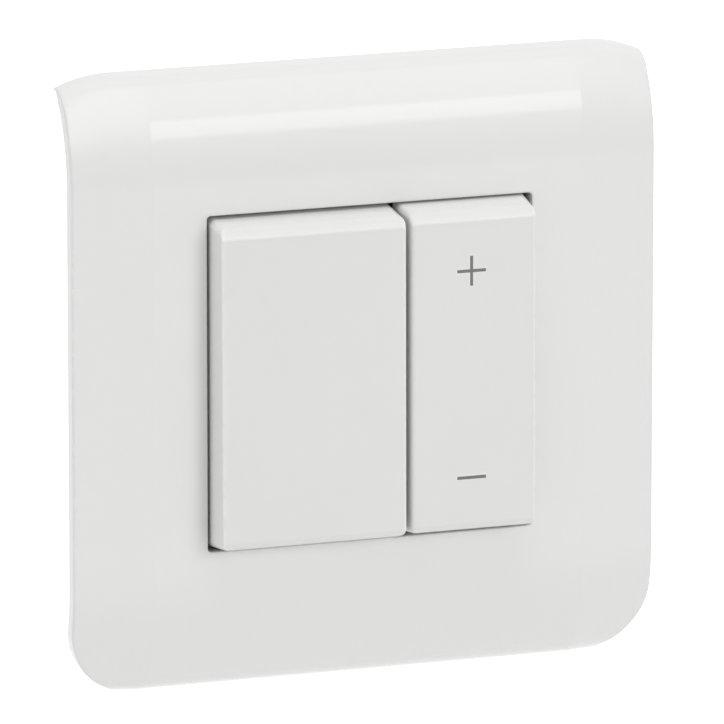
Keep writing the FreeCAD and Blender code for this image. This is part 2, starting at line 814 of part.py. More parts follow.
def make_terminal_screws():
    """Slotted clamp screws, driven from under the housing."""
    screws = []
    head_low = -housing_half + touch_gap
    tip = terminal_z - cage_bore + touch_gap
    slot_zs = (head_low, head_low + drive_slot_depth)
    for x in terminal_xs:
        head = rod_z(x, cage_y, (head_low, head_low + terminal_head_height), terminal_head_radius)
        shank = rod_z(x, cage_y, (head_low, tip), terminal_screw_radius)
        slot = box(around(x, terminal_head_radius), around(cage_y, drive_slot_width / 2), slot_zs)
        screws.append(joined([head, shank]).cut(slot))
    return Part.makeCompound(screws)


def make_rear_housing():
    """The rear box with wire mouths, driver holes, two screw tubes and two board posts."""
    outside = square_prism(housing_half, (frame_rear, housing_rear), housing_corner)
    shapes = [outside.cut(square_prism(housing_inner, (frame_rear, housing_floor), housing_corner))]
    for side in (-1, 1):
        shapes.append(rod_y(side * spacer_x, spacer_z, (power_rear, housing_floor), spacer_radius))
    cuts = []
    head_y = housing_rear - screw_head_height
    for x, z in screw_places:
        shapes.append(rod_y(x, z, (frame_rear, housing_rear), screw_tube_radius))
        cuts.append(rod_y(x, z, (frame_rear, housing_rear), screw_radius + hole_clearance))
        cuts.append(rod_y(x, z, (head_y, housing_rear), screw_head_radius + hole_clearance))
    for x in terminal_xs:
        cuts.append(rod_y(x, terminal_z, (housing_floor, housing_rear), wire_radius))
        cuts.append(rod_z(x, cage_y, (-housing_half, -housing_inner), driver_hole_radius))
    return joined(shapes).cut(cuts)


def make_housing_screws():
    """Two long slotted screws that hold the rear housing to the insert frame."""
    screws = []
    head_y = housing_rear - screw_head_height
    slot_ys = (housing_rear - drive_slot_depth, housing_rear)
    for x, z in screw_places:
        head = rod_y(x, z, (head_y, housing_rear), screw_head_radius)
        shank = rod_y(x, z, (floor_y, head_y), screw_radius)
        slot = box(around(x, screw_head_radius), slot_ys, around(z, drive_slot_width / 2))
        screws.append(joined([head, shank]).cut(slot))
    return Part.makeCompound(screws)


def make_casing():
    """The plate, the frames and the housing."""
    return {
        "wall_plate": make_wall_plate(),
        "support_frame": make_support_frame(),
        "insert_frame": make_insert_frame(),
        "rear_housing": make_rear_housing(),
        "housing_screws": make_housing_screws(),
    }


def make_keys():
    """Both key caps with their rockers, and the marks let into the dimming key."""
    on_off_tapers = (on_off_outer_taper, key_side_taper)
    dimming_tapers = (key_side_taper, dimming_outer_taper)
    dimming_places = [switch_places["plus"], switch_places["minus"]]
    marks = mark_bars()
    return {
        "on_off_key": make_cap((on_off_left, on_off_right), on_off_tapers, on_off_lugs),
        "on_off_rocker": make_rocker(on_off_lugs, on_off_pivot_z, [switch_places["on_off"]]),
        "dimming_key": make_cap((dimming_left, dimming_right), dimming_tapers, dimming_lugs).cut(marks),
        "dimming_rocker": make_rocker(dimming_lugs, 0, dimming_places),
        "dimming_marks": Part.makeCompound(marks),
    }


def make_switches():
    """The three push switches: housing, stem and dome each."""
    nodes = {}
    for name, (x, z) in switch_places.items():
        nodes[name + "_switch"] = make_switch_housing(x, z)
        nodes[name + "_stem"] = make_stem(x, z)
        nodes[name + "_dome"] = make_dome(x, z)
    return nodes


def make_control_parts():
    """Control board, its parts, and what joins it to the power board."""
    return {
        "control_board": make_board(board_y),
        "control_chip": make_control_chip(),
        "chip_components": make_chip_components(),
        "board_spacers": make_spacers(),
        "header_body": make_header_body(),
        "header_pins": make_header_pins(),
    }


def make_power_parts():
    """Power board with the parts that switch and filter the lamp's current."""
    rectifier_ys = (power_y - rectifier_depth, power_y)
    rectifier = box(around(film_x, rectifier_width / 2), rectifier_ys, around(0, rectifier_height / 2))
    film_ys = (power_rear, power_rear + film_length)
    return {
        "power_board": make_board(power_y),
        "bridge_rectifier": rectifier,
        "heat_sink": make_heat_sink(),
        "insulating_pads": make_pads(),
        "power_transistors": make_transistors(),
        "transistor_screws": make_transistor_screws(),
        "choke_core": choke_ring((core_y, core_y + core_height), core_outer, core_inner),
        "choke_winding": make_choke_winding(),
        "film_capacitor": box(around(film_x, film_width / 2), film_ys, around(film_z, film_height / 2)),
        "smoothing_capacitors": make_cans(),
        "varistor": rod_y(varistor_x, can_z, (power_rear, power_rear + varistor_length), varistor_radius),
        "fuse": rod_y(fuse_x, fuse_z, (power_rear, power_rear + fuse_length), fuse_radius),
    }


def make_terminals():
    """Terminal block with its clamp cages and screws."""
    return {
        "terminal_block": make_terminal_block(),
        "terminal_clamps": make_terminal_clamps(),
        "terminal_screws": make_terminal_screws(),
    }


def main():
    """Builds every piece and writes one STEP file for each."""
    os.makedirs("parts", exist_ok=True)
    nodes = {**make_casing(), **make_keys(), **make_switches()}
    nodes.update({**make_control_parts(), **make_power_parts(), **make_terminals()})
    for name, shape in nodes.items():
        shape.exportStep(os.path.join("parts", name + ".step"))
        print(name, len(shape.Solids), shape.isValid(), round(shape.Volume, 2))


main()
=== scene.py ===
import json
import logging
import math
from dataclasses import dataclass, field
from enum import Enum
from typing import Any, Callable, Optional, Sequence

import bmesh
import bpy
from mathutils import Matrix, Vector


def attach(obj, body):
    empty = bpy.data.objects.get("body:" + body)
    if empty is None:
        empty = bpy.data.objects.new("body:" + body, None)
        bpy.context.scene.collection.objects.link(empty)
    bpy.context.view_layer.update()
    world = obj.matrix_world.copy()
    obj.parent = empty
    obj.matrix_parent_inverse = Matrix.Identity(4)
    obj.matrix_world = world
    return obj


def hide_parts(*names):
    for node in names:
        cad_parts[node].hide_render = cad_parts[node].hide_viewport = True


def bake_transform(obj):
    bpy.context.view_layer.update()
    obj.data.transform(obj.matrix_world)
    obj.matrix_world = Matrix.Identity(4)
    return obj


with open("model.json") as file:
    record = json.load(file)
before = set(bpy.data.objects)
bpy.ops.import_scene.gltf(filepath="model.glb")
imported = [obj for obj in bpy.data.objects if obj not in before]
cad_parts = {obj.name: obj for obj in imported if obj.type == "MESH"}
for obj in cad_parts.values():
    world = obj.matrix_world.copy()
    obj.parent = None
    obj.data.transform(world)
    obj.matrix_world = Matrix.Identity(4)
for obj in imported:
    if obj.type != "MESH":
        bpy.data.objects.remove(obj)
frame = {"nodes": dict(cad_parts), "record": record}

# A dimmer insert and its wall plate, dressed and lit for a studio view.
# Sizes in the classes are millimetres: X to the right, Z up, the room at -Y.

MM = 0.001
BASE = "base"
SAME_PLACE = 0.001 * MM  # places nearer than this count as one
FACING = 0.9  # least part of a face's normal along the way it looks
PLAIN_WHITE = (1.0, 1.0, 1.0)
Span = tuple[float, float]
Point = tuple[float, float, float]
Row = tuple[float, float, float, float]
Colour = tuple[float, float, float]
Piece = bpy.types.Object
Socket = bpy.types.NodeSocket
Test = Callable[[Any], bool]
log = logging.getLogger("dimmer")


def shade(red: float, green: float, blue: float) -> Colour:
    """Turns a colour as a screen shows it, 0 to 255 a channel, into the light it stands for.

    Args:
        red: Red channel.
        green: Green channel.
        blue: Blue channel.

    Returns:
        The linear colour.
    """

    def linear(value: float) -> float:
        """One channel from screen value to light."""
        share = value / 255
        return share / 12.92 if share <= 0.04045 else ((share + 0.055) / 1.055) ** 2.4

    return linear(red), linear(green), linear(blue)


def around(middle: float, half: float) -> Span:
    """The span that reaches half to either side of the middle."""
    return middle - half, middle + half


def direction(azimuth: float, elevation: float) -> Vector:
    """The way from the object to what stands at these angles, in degrees; azimuth 0 is in front."""
    turn, rise = math.radians(azimuth), math.radians(elevation)
    return Vector((math.sin(turn) * math.cos(rise), -math.cos(turn) * math.cos(rise), math.sin(rise)))


def both_ends(edge: Any, test: Callable[[Vector], bool]) -> bool:
    """Whether both ends of an edge pass a test."""
    return all(test(vertex.co) for vertex in edge.verts)


def runs_back(edge: Any) -> bool:
    """Whether an edge runs from front to back, by more than a millimetre."""
    return abs(edge.verts[0].co.y - edge.verts[1].co.y) > MM


# Modelling, step by step


class Pick(Enum):
    """What is selected in edit mode."""

    VERTICES = "VERT"
    EDGES = "EDGE"
    FACES = "FACE"


class Bench:
    """Blender's modelling operators, used step by step as by hand."""

    SLIVER = 0.0005  # points of a cut or union nearer than this are merged
    CAD_GAP = 0.002  # points of a CAD node's separate faces nearer than this are merged
    FLAT = math.radians(0.5)  # faces of a CAD node that turn less than this are one face
    SHARP = math.radians(50)  # edges that turn more than this are softened

    def clear(self) -> None:
        """Leaves edit mode and deselects everything."""
        if bpy.context.object and bpy.context.object.mode != "OBJECT":
            bpy.ops.object.mode_set(mode="OBJECT")
        bpy.ops.object.select_all(action="DESELECT")

    def take(self, piece: Piece) -> None:
        """Makes one piece the only selected and active one."""
        self.clear()
        piece.select_set(True)
        bpy.context.view_layer.objects.active = piece

    def settle(self, name: str, scale: Sequence[float] = (1, 1, 1)) -> Piece:
        """Names the new primitive and puts its place, turn and scale into its mesh.

        Args:
            name: The piece's name.
            scale: Stretch along each axis.

        Returns:
            The piece.
        """
        piece = bpy.context.object
        piece.name = piece.data.name = name
        piece.scale = scale
        bpy.ops.object.transform_apply(location=True, rotation=True, scale=True)
        return piece

    def block(self, name: str, xs: Span, ys: Span, zs: Span) -> Piece:
        """A box between the given spans.

        Args:
            name: The piece's name.
            xs: Span along X.
            ys: Span along Y.
            zs: Span along Z.

        Returns:
            The box.
        """
        self.clear()
        spans = (xs, ys, zs)
        bpy.ops.mesh.primitive_cube_add(size=MM, location=[sum(span) / 2 * MM for span in spans])
        return self.settle(name, [abs(span[1] - span[0]) for span in spans])

    def rod(self, name: str, spot: Span, run: Span, radii: Span, sides: int) -> Piece:
        """A rod or cone that runs from front to back.

        Args:
            name: The piece's name.
            spot: Where it stands along X and Z.
            run: Where it starts and ends along Y.
            radii: Radius at the start and at the end.
            sides: Number of sides.

        Returns:
            The rod.
        """
        self.clear()
        bpy.ops.mesh.primitive_cone_add(
            vertices=sides,
            radius1=radii[1] * MM,
            radius2=radii[0] * MM,
            depth=(run[1] - run[0]) * MM,
            location=(spot[0] * MM, sum(run) / 2 * MM, spot[1] * MM),
            rotation=(math.pi / 2, 0.0, 0.0),
        )
        return self.settle(name)

    def pick(self, piece: Piece, kind: Pick, test: Optional[Test] = None) -> None:
        """Selects what passes a test, in edit mode.

        Args:
            piece: The piece to work on.
            kind: Vertices, edges or faces.
            test: Says whether an element is wanted; without it all are.
        """
        if bpy.context.object is not piece or piece.mode != "EDIT":
            self.take(piece)
            bpy.ops.object.mode_set(mode="EDIT")
        bpy.ops.mesh.select_mode(type=kind.value)
        bpy.ops.mesh.select_all(action="DESELECT")
        mesh = bmesh.from_edit_mesh(piece.data)
        mesh.normal_update()
        elements = {Pick.VERTICES: mesh.verts, Pick.EDGES: mesh.edges, Pick.FACES: mesh.faces}[kind]
        for element in [element for element in elements if test is None or test(element)]:
            element.select_set(True)
        mesh.select_flush_mode()
        bmesh.update_edit_mesh(piece.data)

    def shift(self, x: float = 0.0, y: float = 0.0, z: float = 0.0) -> None:
        """Moves what is selected in edit mode, in millimetres."""
        bpy.ops.transform.translate(value=(x * MM, y * MM, z * MM))

    def pull(self, x: float = 0.0, y: float = 0.0, z: float = 0.0) -> None:
        """Extrudes the selected faces in edit mode, in millimetres."""
        bpy.ops.mesh.extrude_region_move(TRANSFORM_OT_translate={"value": (x * MM, y * MM, z * MM)})

    def round_off(self, piece: Piece, kind: Pick, test: Test, width: float, segments: int) -> None:
        """Bevels the edges that pass a test, or those round the faces that pass it.

        Args:
            piece: The piece to work on.
            kind: Edges or faces.
            test: Says whether an edge or face is wanted.
            width: Width of the rounding.
            segments: Faces across it.
        """
        self.pick(piece, kind, test)
        bpy.ops.mesh.bevel(offset=width * MM, segments=segments, profile=0.5, clamp_overlap=False)

    def apply(self, piece: Piece, kind: str, **settings: Any) -> None:
        """Puts a modifier on a piece and applies it.

        Args:
            piece: The piece.
            kind: Blender's name for the kind of modifier.
            **settings: Properties of the modifier.
        """
        self.take(piece)
        modifier = piece.modifiers.new(kind, kind)
        for name, value in settings.items():
            setattr(modifier, name, value)
        bpy.ops.object.modifier_apply(modifier=modifier.name)

    def combine(self, piece: Piece, tools: Sequence[Piece], action: str) -> None:
        """Joins tools to a piece or cuts them out of it, and removes the tools.

        Args:
            piece: The piece that stays.
            tools: What is joined or cut out, clear of each other.
            action: UNION or DIFFERENCE.
        """
        self.take(tools[0])
        for tool in tools[1:]:
            tool.select_set(True)
        bpy.ops.object.join()
        for shape in (piece, tools[0]):
            shape.data.transform(Matrix.Scale(1 / MM, 4))
        self.apply(piece, "BOOLEAN", operation=action, object=tools[0], solver="EXACT")
        bpy.data.objects.remove(tools[0])
        self.mend(piece)

    def mend(self, piece: Piece) -> None:
        """Removes slivers from a piece drawn at a metre to the millimetre, and brings it back to size."""
        self.pick(piece, Pick.VERTICES)
        bpy.ops.mesh.remove_doubles(threshold=self.SLIVER)
        bpy.ops.mesh.dissolve_degenerate(threshold=self.SLIVER)
        self.clear()
        piece.data.transform(Matrix.Scale(MM, 4))

    def round_by_width(self, piece: Piece, width: Callable[[Any], float]) -> None:
        """Rounds every edge of a piece by its own width, all in one go so that they meet cleanly.

        Args:
            piece: The piece.
            width: Gives the width for an edge in millimetres, at most 1; 0 leaves it sharp.
        """
        self.pick(piece, Pick.EDGES)
        mesh = bmesh.from_edit_mesh(piece.data)
        for value in sorted({width(edge) for edge in mesh.edges} - {0.0}):
            self.pick(piece, Pick.EDGES, lambda edge: width(edge) == value)
            bpy.ops.transform.edge_bevelweight(value=value)
        self.apply(piece, "BEVEL", width=MM, segments=4, limit_method="WEIGHT")

    def soften(self, piece: Piece, width: float) -> None:
        """Rounds every sharp edge of a piece by the same width, as far as there is room."""
        limit = {"limit_method": "ANGLE", "angle_limit": self.SHARP, "use_clamp_overlap": True}
        self.apply(piece, "BEVEL", width=width * MM, segments=2, **limit)
        piece.data.transform(Matrix.Scale(1 / MM, 4))
        self.mend(piece)
        self.smooth(piece)

    def smooth(self, piece: Piece, angle: float = 32.0) -> None:
        """Shades a piece smooth except over edges sharper than this many degrees."""
        self.take(piece)
        bpy.ops.object.shade_smooth_by_angle(angle=math.radians(angle))
        self.apply(piece, "WEIGHTED_NORMAL", keep_sharp=True)

    def copy_of(self, node: str, name: str) -> Piece:
        """A merged copy of a CAD node, ready to be worked on.

        Args:
            node: The CAD node.
            name: Name of the copy.

        Returns:
            The copy, with its doubles merged and flat faces joined up.
        """
        piece = bpy.data.objects.new(name, frame["nodes"][node].data.copy())
        piece.data.name = name
        bpy.context.scene.collection.objects.link(piece)
        self.pick(piece, Pick.VERTICES)
        bpy.ops.mesh.remove_doubles(threshold=self.CAD_GAP * MM)
        bpy.ops.mesh.dissolve_limited(angle_limit=self.FLAT)
        self.clear()
        return piece


# Finishes and the nodes that make them


class Graph:
    """Adds nodes to one node tree and links them."""

    def __init__(self, tree: bpy.types.NodeTree) -> None:
        """Keeps the tree that is worked on."""
        self.tree = tree

    @classmethod
    def emptied(cls, owner: Any) -> "Graph":
        """The graph of a material, light or world, with its own nodes taken out."""
        owner.use_nodes = True
        owner.node_tree.nodes.clear()
        return cls(owner.node_tree)

    def add(self, kind: str, inputs: Optional[dict[Any, Any]] = None, **settings: Any) -> bpy.types.Node:
        """Adds a node.

        Args:
            kind: Blender's name for the kind of node.
            inputs: Values or sockets for its inputs; a colour is a triple.
            **settings: Properties of the node.

        Returns:
            The node.
        """
        node = self.tree.nodes.new(kind)
        for name, value in settings.items():
            setattr(node, name, value)
        for name, value in (inputs or {}).items():
            socket = node.inputs[name]
            if isinstance(value, Socket):
                self.link(value, socket)
            else:
                socket.default_value = (*value, 1.0) if socket.type == "RGBA" else value
        return node

    def link(self, source: Socket, target: Socket) -> None:
        """Feeds an input from an output."""
        self.tree.links.new(source, target)

    def place(self) -> Socket:
        """The object's own coordinates."""
        return self.add("ShaderNodeTexCoord").outputs["Object"]

    def maths(self, operation: str, *values: Any) -> Socket:
        """A Math node's result for the given values or sockets."""
        return self.add("ShaderNodeMath", dict(enumerate(values)), operation=operation).outputs[0]

    def noise(self, place: Socket, scale: Any, detail: float = 2.0, roughness: float = 0.5) -> Socket:
        """A Noise Texture's value, 0 to 1, over the given coordinates."""
        inputs = {"Vector": place, "Scale": scale, "Detail": detail, "Roughness": roughness}
        return self.add("ShaderNodeTexNoise", inputs).outputs[0]

    def ramp(
        self, value: Any, low: Any, high: Any, new_low: Any = 0.0, new_high: Any = 1.0, **settings: Any
    ) -> Socket:
        """Maps a value from one range to another, and keeps it inside."""
        inputs = {0: value, 1: low, 2: high, 3: new_low, 4: new_high}
        return self.add("ShaderNodeMapRange", inputs, **settings).outputs[0]

    def blend(self, share: Any, first: Any, second: Any, kind: str = "MIX") -> Socket:
        """Mixes two colours."""
        inputs = {"Factor": share, 6: first, 7: second}
        return self.add("ShaderNodeMix", inputs, data_type="RGBA", blend_type=kind).outputs[2]

    def scaled(self, colour: Any, factor: Any) -> Socket:
        """A colour made lighter or darker by a factor."""
        grey = self.add("ShaderNodeCombineColor", {0: factor, 1: factor, 2: factor}).outputs[0]
        return self.blend(1.0, colour, grey, "MULTIPLY")

    def seen(self) -> Socket:
        """1 for what the camera sees, itself or in metal or glass, and 0 for what only lights the object."""
        path = self.add("ShaderNodeLightPath").outputs
        direct = self.maths("MAXIMUM", path["Is Camera Ray"], path["Is Glossy Ray"])
        return self.maths("MAXIMUM", direct, path["Is Transmission Ray"])


class Effects:
    """The node groups that several finishes share."""

    SKIN = {"Colour": "NodeSocketColor", "Roughness": "NodeSocketFloat", "Height": "NodeSocketFloat"}

    def __init__(self) -> None:
        """Builds each group once."""
        self.moulded = self.moulded_skin()
        # Edge mask for wear, and for painted highlight and painted shade along edges.
        self.edges = self.worn_and_lit_edges()
        self.streaks = self.drawn_metal()

    def group(self, name: str, inputs: dict[str, Any], outputs: dict[str, str]) -> tuple[Graph, Any, Any]:
        """Starts a node group.

        Args:
            name: The group's name.
            inputs: Name and default value of each input; a triple is a colour.
            outputs: Name and socket type of each output.

        Returns:
            The group's graph, what is given to it and what it puts out.
        """
        tree = bpy.data.node_groups.new(name, "ShaderNodeTree")
        for label, value in inputs.items():
            is_colour = isinstance(value, tuple)
            kind = "NodeSocketColor" if is_colour else "NodeSocketFloat"
            socket = tree.interface.new_socket(label, in_out="INPUT", socket_type=kind)
            socket.default_value = (*value, 1.0) if is_colour else value
        for label, kind in outputs.items():
            tree.interface.new_socket(label, in_out="OUTPUT", socket_type=kind)
        graph = Graph(tree)
        return graph, graph.add("NodeGroupInput").outputs, graph.add("NodeGroupOutput").inputs

    def moulded_skin(self) -> bpy.types.NodeTree:
        """Moulded plastic: faint flow marks in the colour, fine grain, and a touch of haze.

        Returns:
            The group.
        """
        inputs = {"Colour": (0.8, 0.8, 0.8), "Tone": 0.01, "Grain": 4000.0, "Roughness": 0.3, "Haze": 0.05}
        graph, given, result = self.group("moulded_skin", inputs, self.SKIN)
        place = graph.place()
        drawn = graph.add("ShaderNodeMapping", {"Vector": place, "Scale": (1.0, 1.0, 0.45)}).outputs[0]
        flow = graph.noise(drawn, scale=46.0, detail=3.0, roughness=0.55)
        specks = graph.noise(place, scale=1900.0, detail=1.0)
        tone = graph.maths(
            "ADD", graph.ramp(flow, 0.3, 0.7, -0.7, 0.7), graph.ramp(specks, 0.3, 0.7, -0.3, 0.3)
        )
        factor = graph.maths("ADD", 1.0, graph.maths("MULTIPLY", tone, given["Tone"]))
        grain = graph.noise(place, given["Grain"], detail=2.0, roughness=0.6)
        swell = graph.noise(place, scale=260.0, detail=1.0, roughness=0.4)
        cloud = graph.ramp(graph.noise(place, scale=120.0, detail=4.0, roughness=0.6), 0.35, 0.7)
        haze = graph.maths("MULTIPLY", cloud, given["Haze"])
        fine = graph.maths("MULTIPLY", graph.ramp(grain, 0.3, 0.7, -0.5, 0.5), 0.03)
        rough = graph.maths("ADD", graph.maths("ADD", given["Roughness"], haze), fine)
        height = graph.maths(
            "ADD", graph.maths("MULTIPLY", grain, 0.35), graph.maths("MULTIPLY", swell, 0.65)
        )
        graph.link(graph.scaled(given["Colour"], factor), result["Colour"])
        graph.link(rough, result["Roughness"])
        graph.link(height, result["Height"])
        return graph.tree

    def worn_and_lit_edges(self) -> bpy.types.NodeTree:
        """A broken mask along a piece's edges, for wear and for painted highlight and painted shade there.

        Returns:
            The group.
        """
        inputs = {"Reach": 0.0004, "Breaks": 900.0}
        graph, given, result = self.group("worn_and_lit_edges", inputs, {"Mask": "NodeSocketFloat"})
        flat = graph.add("ShaderNodeNewGeometry").outputs["Normal"]
        turned = graph.add("ShaderNodeBevel", {"Radius": given["Reach"]}, samples=4).outputs[0]
        dot = graph.add(
            "ShaderNodeVectorMath", {0: flat, 1: turned}, operation="DOT_PRODUCT"
        ).outputs["Value"]
        edge = graph.ramp(dot, 0.985, 0.93)
        breaks = graph.ramp(graph.noise(graph.place(), given["Breaks"], detail=3.0, roughness=0.6), 0.3, 0.5)
        graph.link(graph.maths("MULTIPLY", edge, breaks), result["Mask"])
        return graph.tree

    def drawn_metal(self) -> bpy.types.NodeTree:
        """Metal with fine streaks along X, and blotches of tarnish.

        Returns:
            The group.
        """
        inputs = {"Colour": (0.7, 0.7, 0.7), "Tarnish": (0.3, 0.28, 0.25), "Amount": 0.3, "Roughness": 0.3}
        graph, given, result = self.group("drawn_metal", inputs, self.SKIN)
        place = graph.place()
        along = graph.add("ShaderNodeMapping", {"Vector": place, "Scale": (120.0, 6000.0, 6000.0)}).outputs[0]
        streak = graph.noise(along, scale=1.0, detail=2.0, roughness=0.6)
        blotch = graph.ramp(graph.noise(place, scale=700.0, detail=4.0, roughness=0.65), 0.42, 0.75)
        share = graph.maths("MULTIPLY", blotch, given["Amount"])
        colour = graph.blend(share, given["Colour"], given["Tarnish"])
        lighter = graph.ramp(streak, 0.2, 0.8, 0.9, 1.08)
        rough = graph.maths("ADD", given["Roughness"], graph.maths("MULTIPLY", share, 0.3))
        rough = graph.maths("ADD", rough, graph.ramp(streak, 0.2, 0.8, -0.06, 0.06))
        graph.link(graph.scaled(colour, lighter), result["Colour"])
        graph.link(rough, result["Roughness"])
        graph.link(streak, result["Height"])
        return graph.tree


class Surface:
    """One material under way: its graph, its shader and its bump."""

    def __init__(self, name: str) -> None:
        """Starts a material with only a shader in it."""
        self.material = bpy.data.materials.new(name)
        self.material.use_nodes = True
        self.graph = Graph(self.material.node_tree)
        self.shader = next(n for n in self.graph.tree.nodes if n.type == "BSDF_PRINCIPLED")

    def group(self, tree: bpy.types.NodeTree, values: dict[str, Any]) -> Any:
        """Places a shared group with this material's own values, and gives its outputs."""
        return self.graph.add("ShaderNodeGroup", values, node_tree=tree).outputs

    def feed(self, socket: str, source: Socket) -> None:
        """Links a socket of the shader."""
        self.graph.link(source, self.shader.inputs[socket])

    def set(self, **values: Any) -> None:
        """Sets plain values on the shader; an underscore in a name stands for a space."""
        for name, value in values.items():
            self.shader.inputs[name.replace("_", " ")].default_value = value

    def bump(self, height: Socket, depth: float) -> None:
        """Turns a height, 0 to 1, into relief of the given depth in millimetres."""
        inputs = {"Strength": 1.0, "Distance": depth * MM, "Height": height}
        self.feed("Normal", self.graph.add("ShaderNodeBump", inputs).outputs[0])

    def edge_wear_and_light(self, skin: Any, mask: Any, share: float, edge: Colour, depth: float) -> None:
        """Feeds the shader from a shared skin, with another colour along its edges for wear, which is also a
        painted highlight where lighter and painted shade where darker.

        Args:
            skin: Outputs of the shared group for the skin.
            mask: Outputs of the shared group for the edge mask.
            share: How much of the other colour shows there.
            edge: The other colour; 1 is as light as a channel gets.
            depth: Height of the skin's relief.
        """
        # Edges take the piece's colour times a factor: a painted highlight where it is above 1, painted shade
        # where below 1, and wear.
        lighter = tuple(min(1.0, value) for value in edge)
        worn_and_lit = self.graph.maths("MULTIPLY", mask["Mask"], share)
        self.feed("Base Color", self.graph.blend(worn_and_lit, skin["Colour"], lighter))
        self.feed("Roughness", skin["Roughness"])
        self.bump(skin["Height"], depth)


class Finish:
    """What a slot of the record looks like."""

    def paint(self, name: str, effects: Effects) -> bpy.types.Material:
        """Makes the finish's material under a name, from the shared node groups."""
        surface = Surface(name)
        self.lay(surface, effects)
        return surface.material

    def lay(self, surface: Surface, effects: Effects) -> None:
        """Builds the material's nodes, which each finish does in its own way.

        Args:
            surface: The material under way.
            effects: The shared node groups.
        """
        raise NotImplementedError


@dataclass(frozen=True)
class MouldedPlastic(Finish):
    """A moulded plastic.

    tone is how far its colour varies, grain the number of grains in a metre,
    depth the height of the grain in millimetres; the two edge fields give the share
    of an edge colour along its edges and how much lighter or darker it is (wear, a
    painted highlight where lighter, painted shade where darker), and edge_reach how
    far that goes from the edge in millimetres.
    """

    colour: Colour
    roughness: float = 0.3
    tone: float = 0.012
    grain: float = 4200.0
    depth: float = 0.002
    haze: float = 0.04
    edge_wear_and_light: float = 0.25
    edge_wear_and_light_tint: float = 1.08
    edge_reach: float = 0.6

    def lay(self, surface: Surface, effects: Effects) -> None:
        """A moulded skin with an edge colour: wear, painted highlight where lighter, painted shade where
        darker.
        """
        values = {"Colour": self.colour, "Tone": self.tone, "Grain": self.grain}
        skin = surface.group(effects.moulded, {**values, "Roughness": self.roughness, "Haze": self.haze})
        mask = surface.group(effects.edges, {"Reach": self.edge_reach * MM})
        surface.edge_wear_and_light(skin, mask, self.edge_wear_and_light, tuple(value * self.edge_wear_and_light_tint for value in self.colour), self.depth)


@dataclass(frozen=True)
class DrawnMetal(Finish):
    """Drawn or rolled metal with streaks and some tarnish."""

    colour: Colour
    tarnish: Colour
    amount: float = 0.3
    roughness: float = 0.3
    depth: float = 0.002
    edge_reach: float = 0.25
    edge_wear_and_light: float = 0.5
    edge_wear_and_light_tint: float = 1.15

    def lay(self, surface: Surface, effects: Effects) -> None:
        """A streaked skin with its edges bright."""
        values = {"Colour": self.colour, "Tarnish": self.tarnish, "Amount": self.amount}
        metal = surface.group(effects.streaks, {**values, "Roughness": self.roughness})
        mask = surface.group(effects.edges, {"Reach": self.edge_reach * MM})
        surface.edge_wear_and_light(metal, mask, self.edge_wear_and_light, tuple(value * self.edge_wear_and_light_tint for value in self.colour), self.depth)
        surface.set(Metallic=1.0)


@dataclass(frozen=True)
class PrintedBoard(Finish):
    """A circuit board: lacquer over copper traces, with tinned pads on a tenth of an inch."""

    lacquer: Colour
    trace: Colour
    pad: Colour = (0.55, 0.55, 0.52)
    pads_in_metre: float = 393.7
    pad_size: float = 0.24
    relief: float = 0.03

    def lay(self, surface: Surface, effects: Effects) -> None:
        """Traces from a brick pattern, and patches of round pads.

        Args:
            surface: The material under way.
            effects: The shared node groups.
        """
        graph = surface.graph
        skin = surface.group(effects.moulded, {"Colour": self.lacquer, "Tone": 0.05, "Roughness": 0.32})
        turn = {"Vector": graph.place(), "Rotation": (math.pi / 2, 0.0, 0.0)}
        turned = graph.add("ShaderNodeMapping", turn).outputs[0]
        sizes = {"Vector": turned, "Scale": 260.0, "Mortar Size": 0.09, "Mortar Smooth": 0.1, "Bias": -0.4}
        sizes.update({"Brick Width": 1.7, "Row Height": 0.42})
        traces = graph.ramp(graph.add("ShaderNodeTexBrick", sizes).outputs["Fac"], 0.3, 0.7)
        cells = {"Vector": turned, "Scale": self.pads_in_metre, "Randomness": 0.0}
        dots = graph.add("ShaderNodeTexVoronoi", cells).outputs["Distance"]
        areas = graph.maths("GREATER_THAN", graph.noise(turned, scale=190.0, detail=0.0), 0.55)
        pads = graph.maths("MULTIPLY", graph.maths("LESS_THAN", dots, self.pad_size), areas)
        colour = graph.blend(traces, skin["Colour"], self.trace)
        surface.feed("Base Color", graph.blend(pads, colour, self.pad))
        surface.feed("Metallic", pads)
        surface.feed("Roughness", skin["Roughness"])
        surface.bump(graph.maths("MAXIMUM", traces, pads), self.relief)
        surface.set(Coat_Weight=0.3, Coat_Roughness=0.15)


@dataclass(frozen=True)
class WoundWire(Finish):
    """Enamelled wire wound round a ring whose middle and axis along Y are given."""

    wire: Colour
    # Tarnish, and painted shade between the turns.
    tarnish_and_turn_shade: Colour
    middle: Span
    turns: int = 34
    relief: float = 0.25

    def lay(self, surface: Surface, effects: Effects) -> None:
        """A wave round the ring, whose crests are the wires and whose troughs are painted shade between the
        turns.

        Args:
            surface: The material under way.
            effects: The shared node groups.
        """
        graph = surface.graph
        axes = graph.add("ShaderNodeSeparateXYZ", {0: graph.place()}).outputs
        across = graph.maths("SUBTRACT", axes["X"], self.middle[0] * MM)
        upward = graph.maths("SUBTRACT", axes["Z"], self.middle[1] * MM)
        angle = graph.maths("MULTIPLY", graph.maths("ARCTAN2", upward, across), float(self.turns))
        wave = graph.ramp(graph.maths("SINE", angle), -1.0, 1.0)
        round_wire = graph.maths("POWER", wave, 0.5)
        metal = surface.group(effects.streaks, {"Colour": self.wire, "Tarnish": self.tarnish_and_turn_shade, "Amount": 0.35})
        # The troughs between the turns take the dark colour: painted shade between the windings.
        surface.feed("Base Color", graph.blend(round_wire, self.tarnish_and_turn_shade, metal["Colour"]))
        surface.feed("Roughness", metal["Roughness"])
        surface.bump(round_wire, self.relief)
        surface.set(Metallic=0.85, Coat_Weight=0.6, Coat_Roughness=0.1)


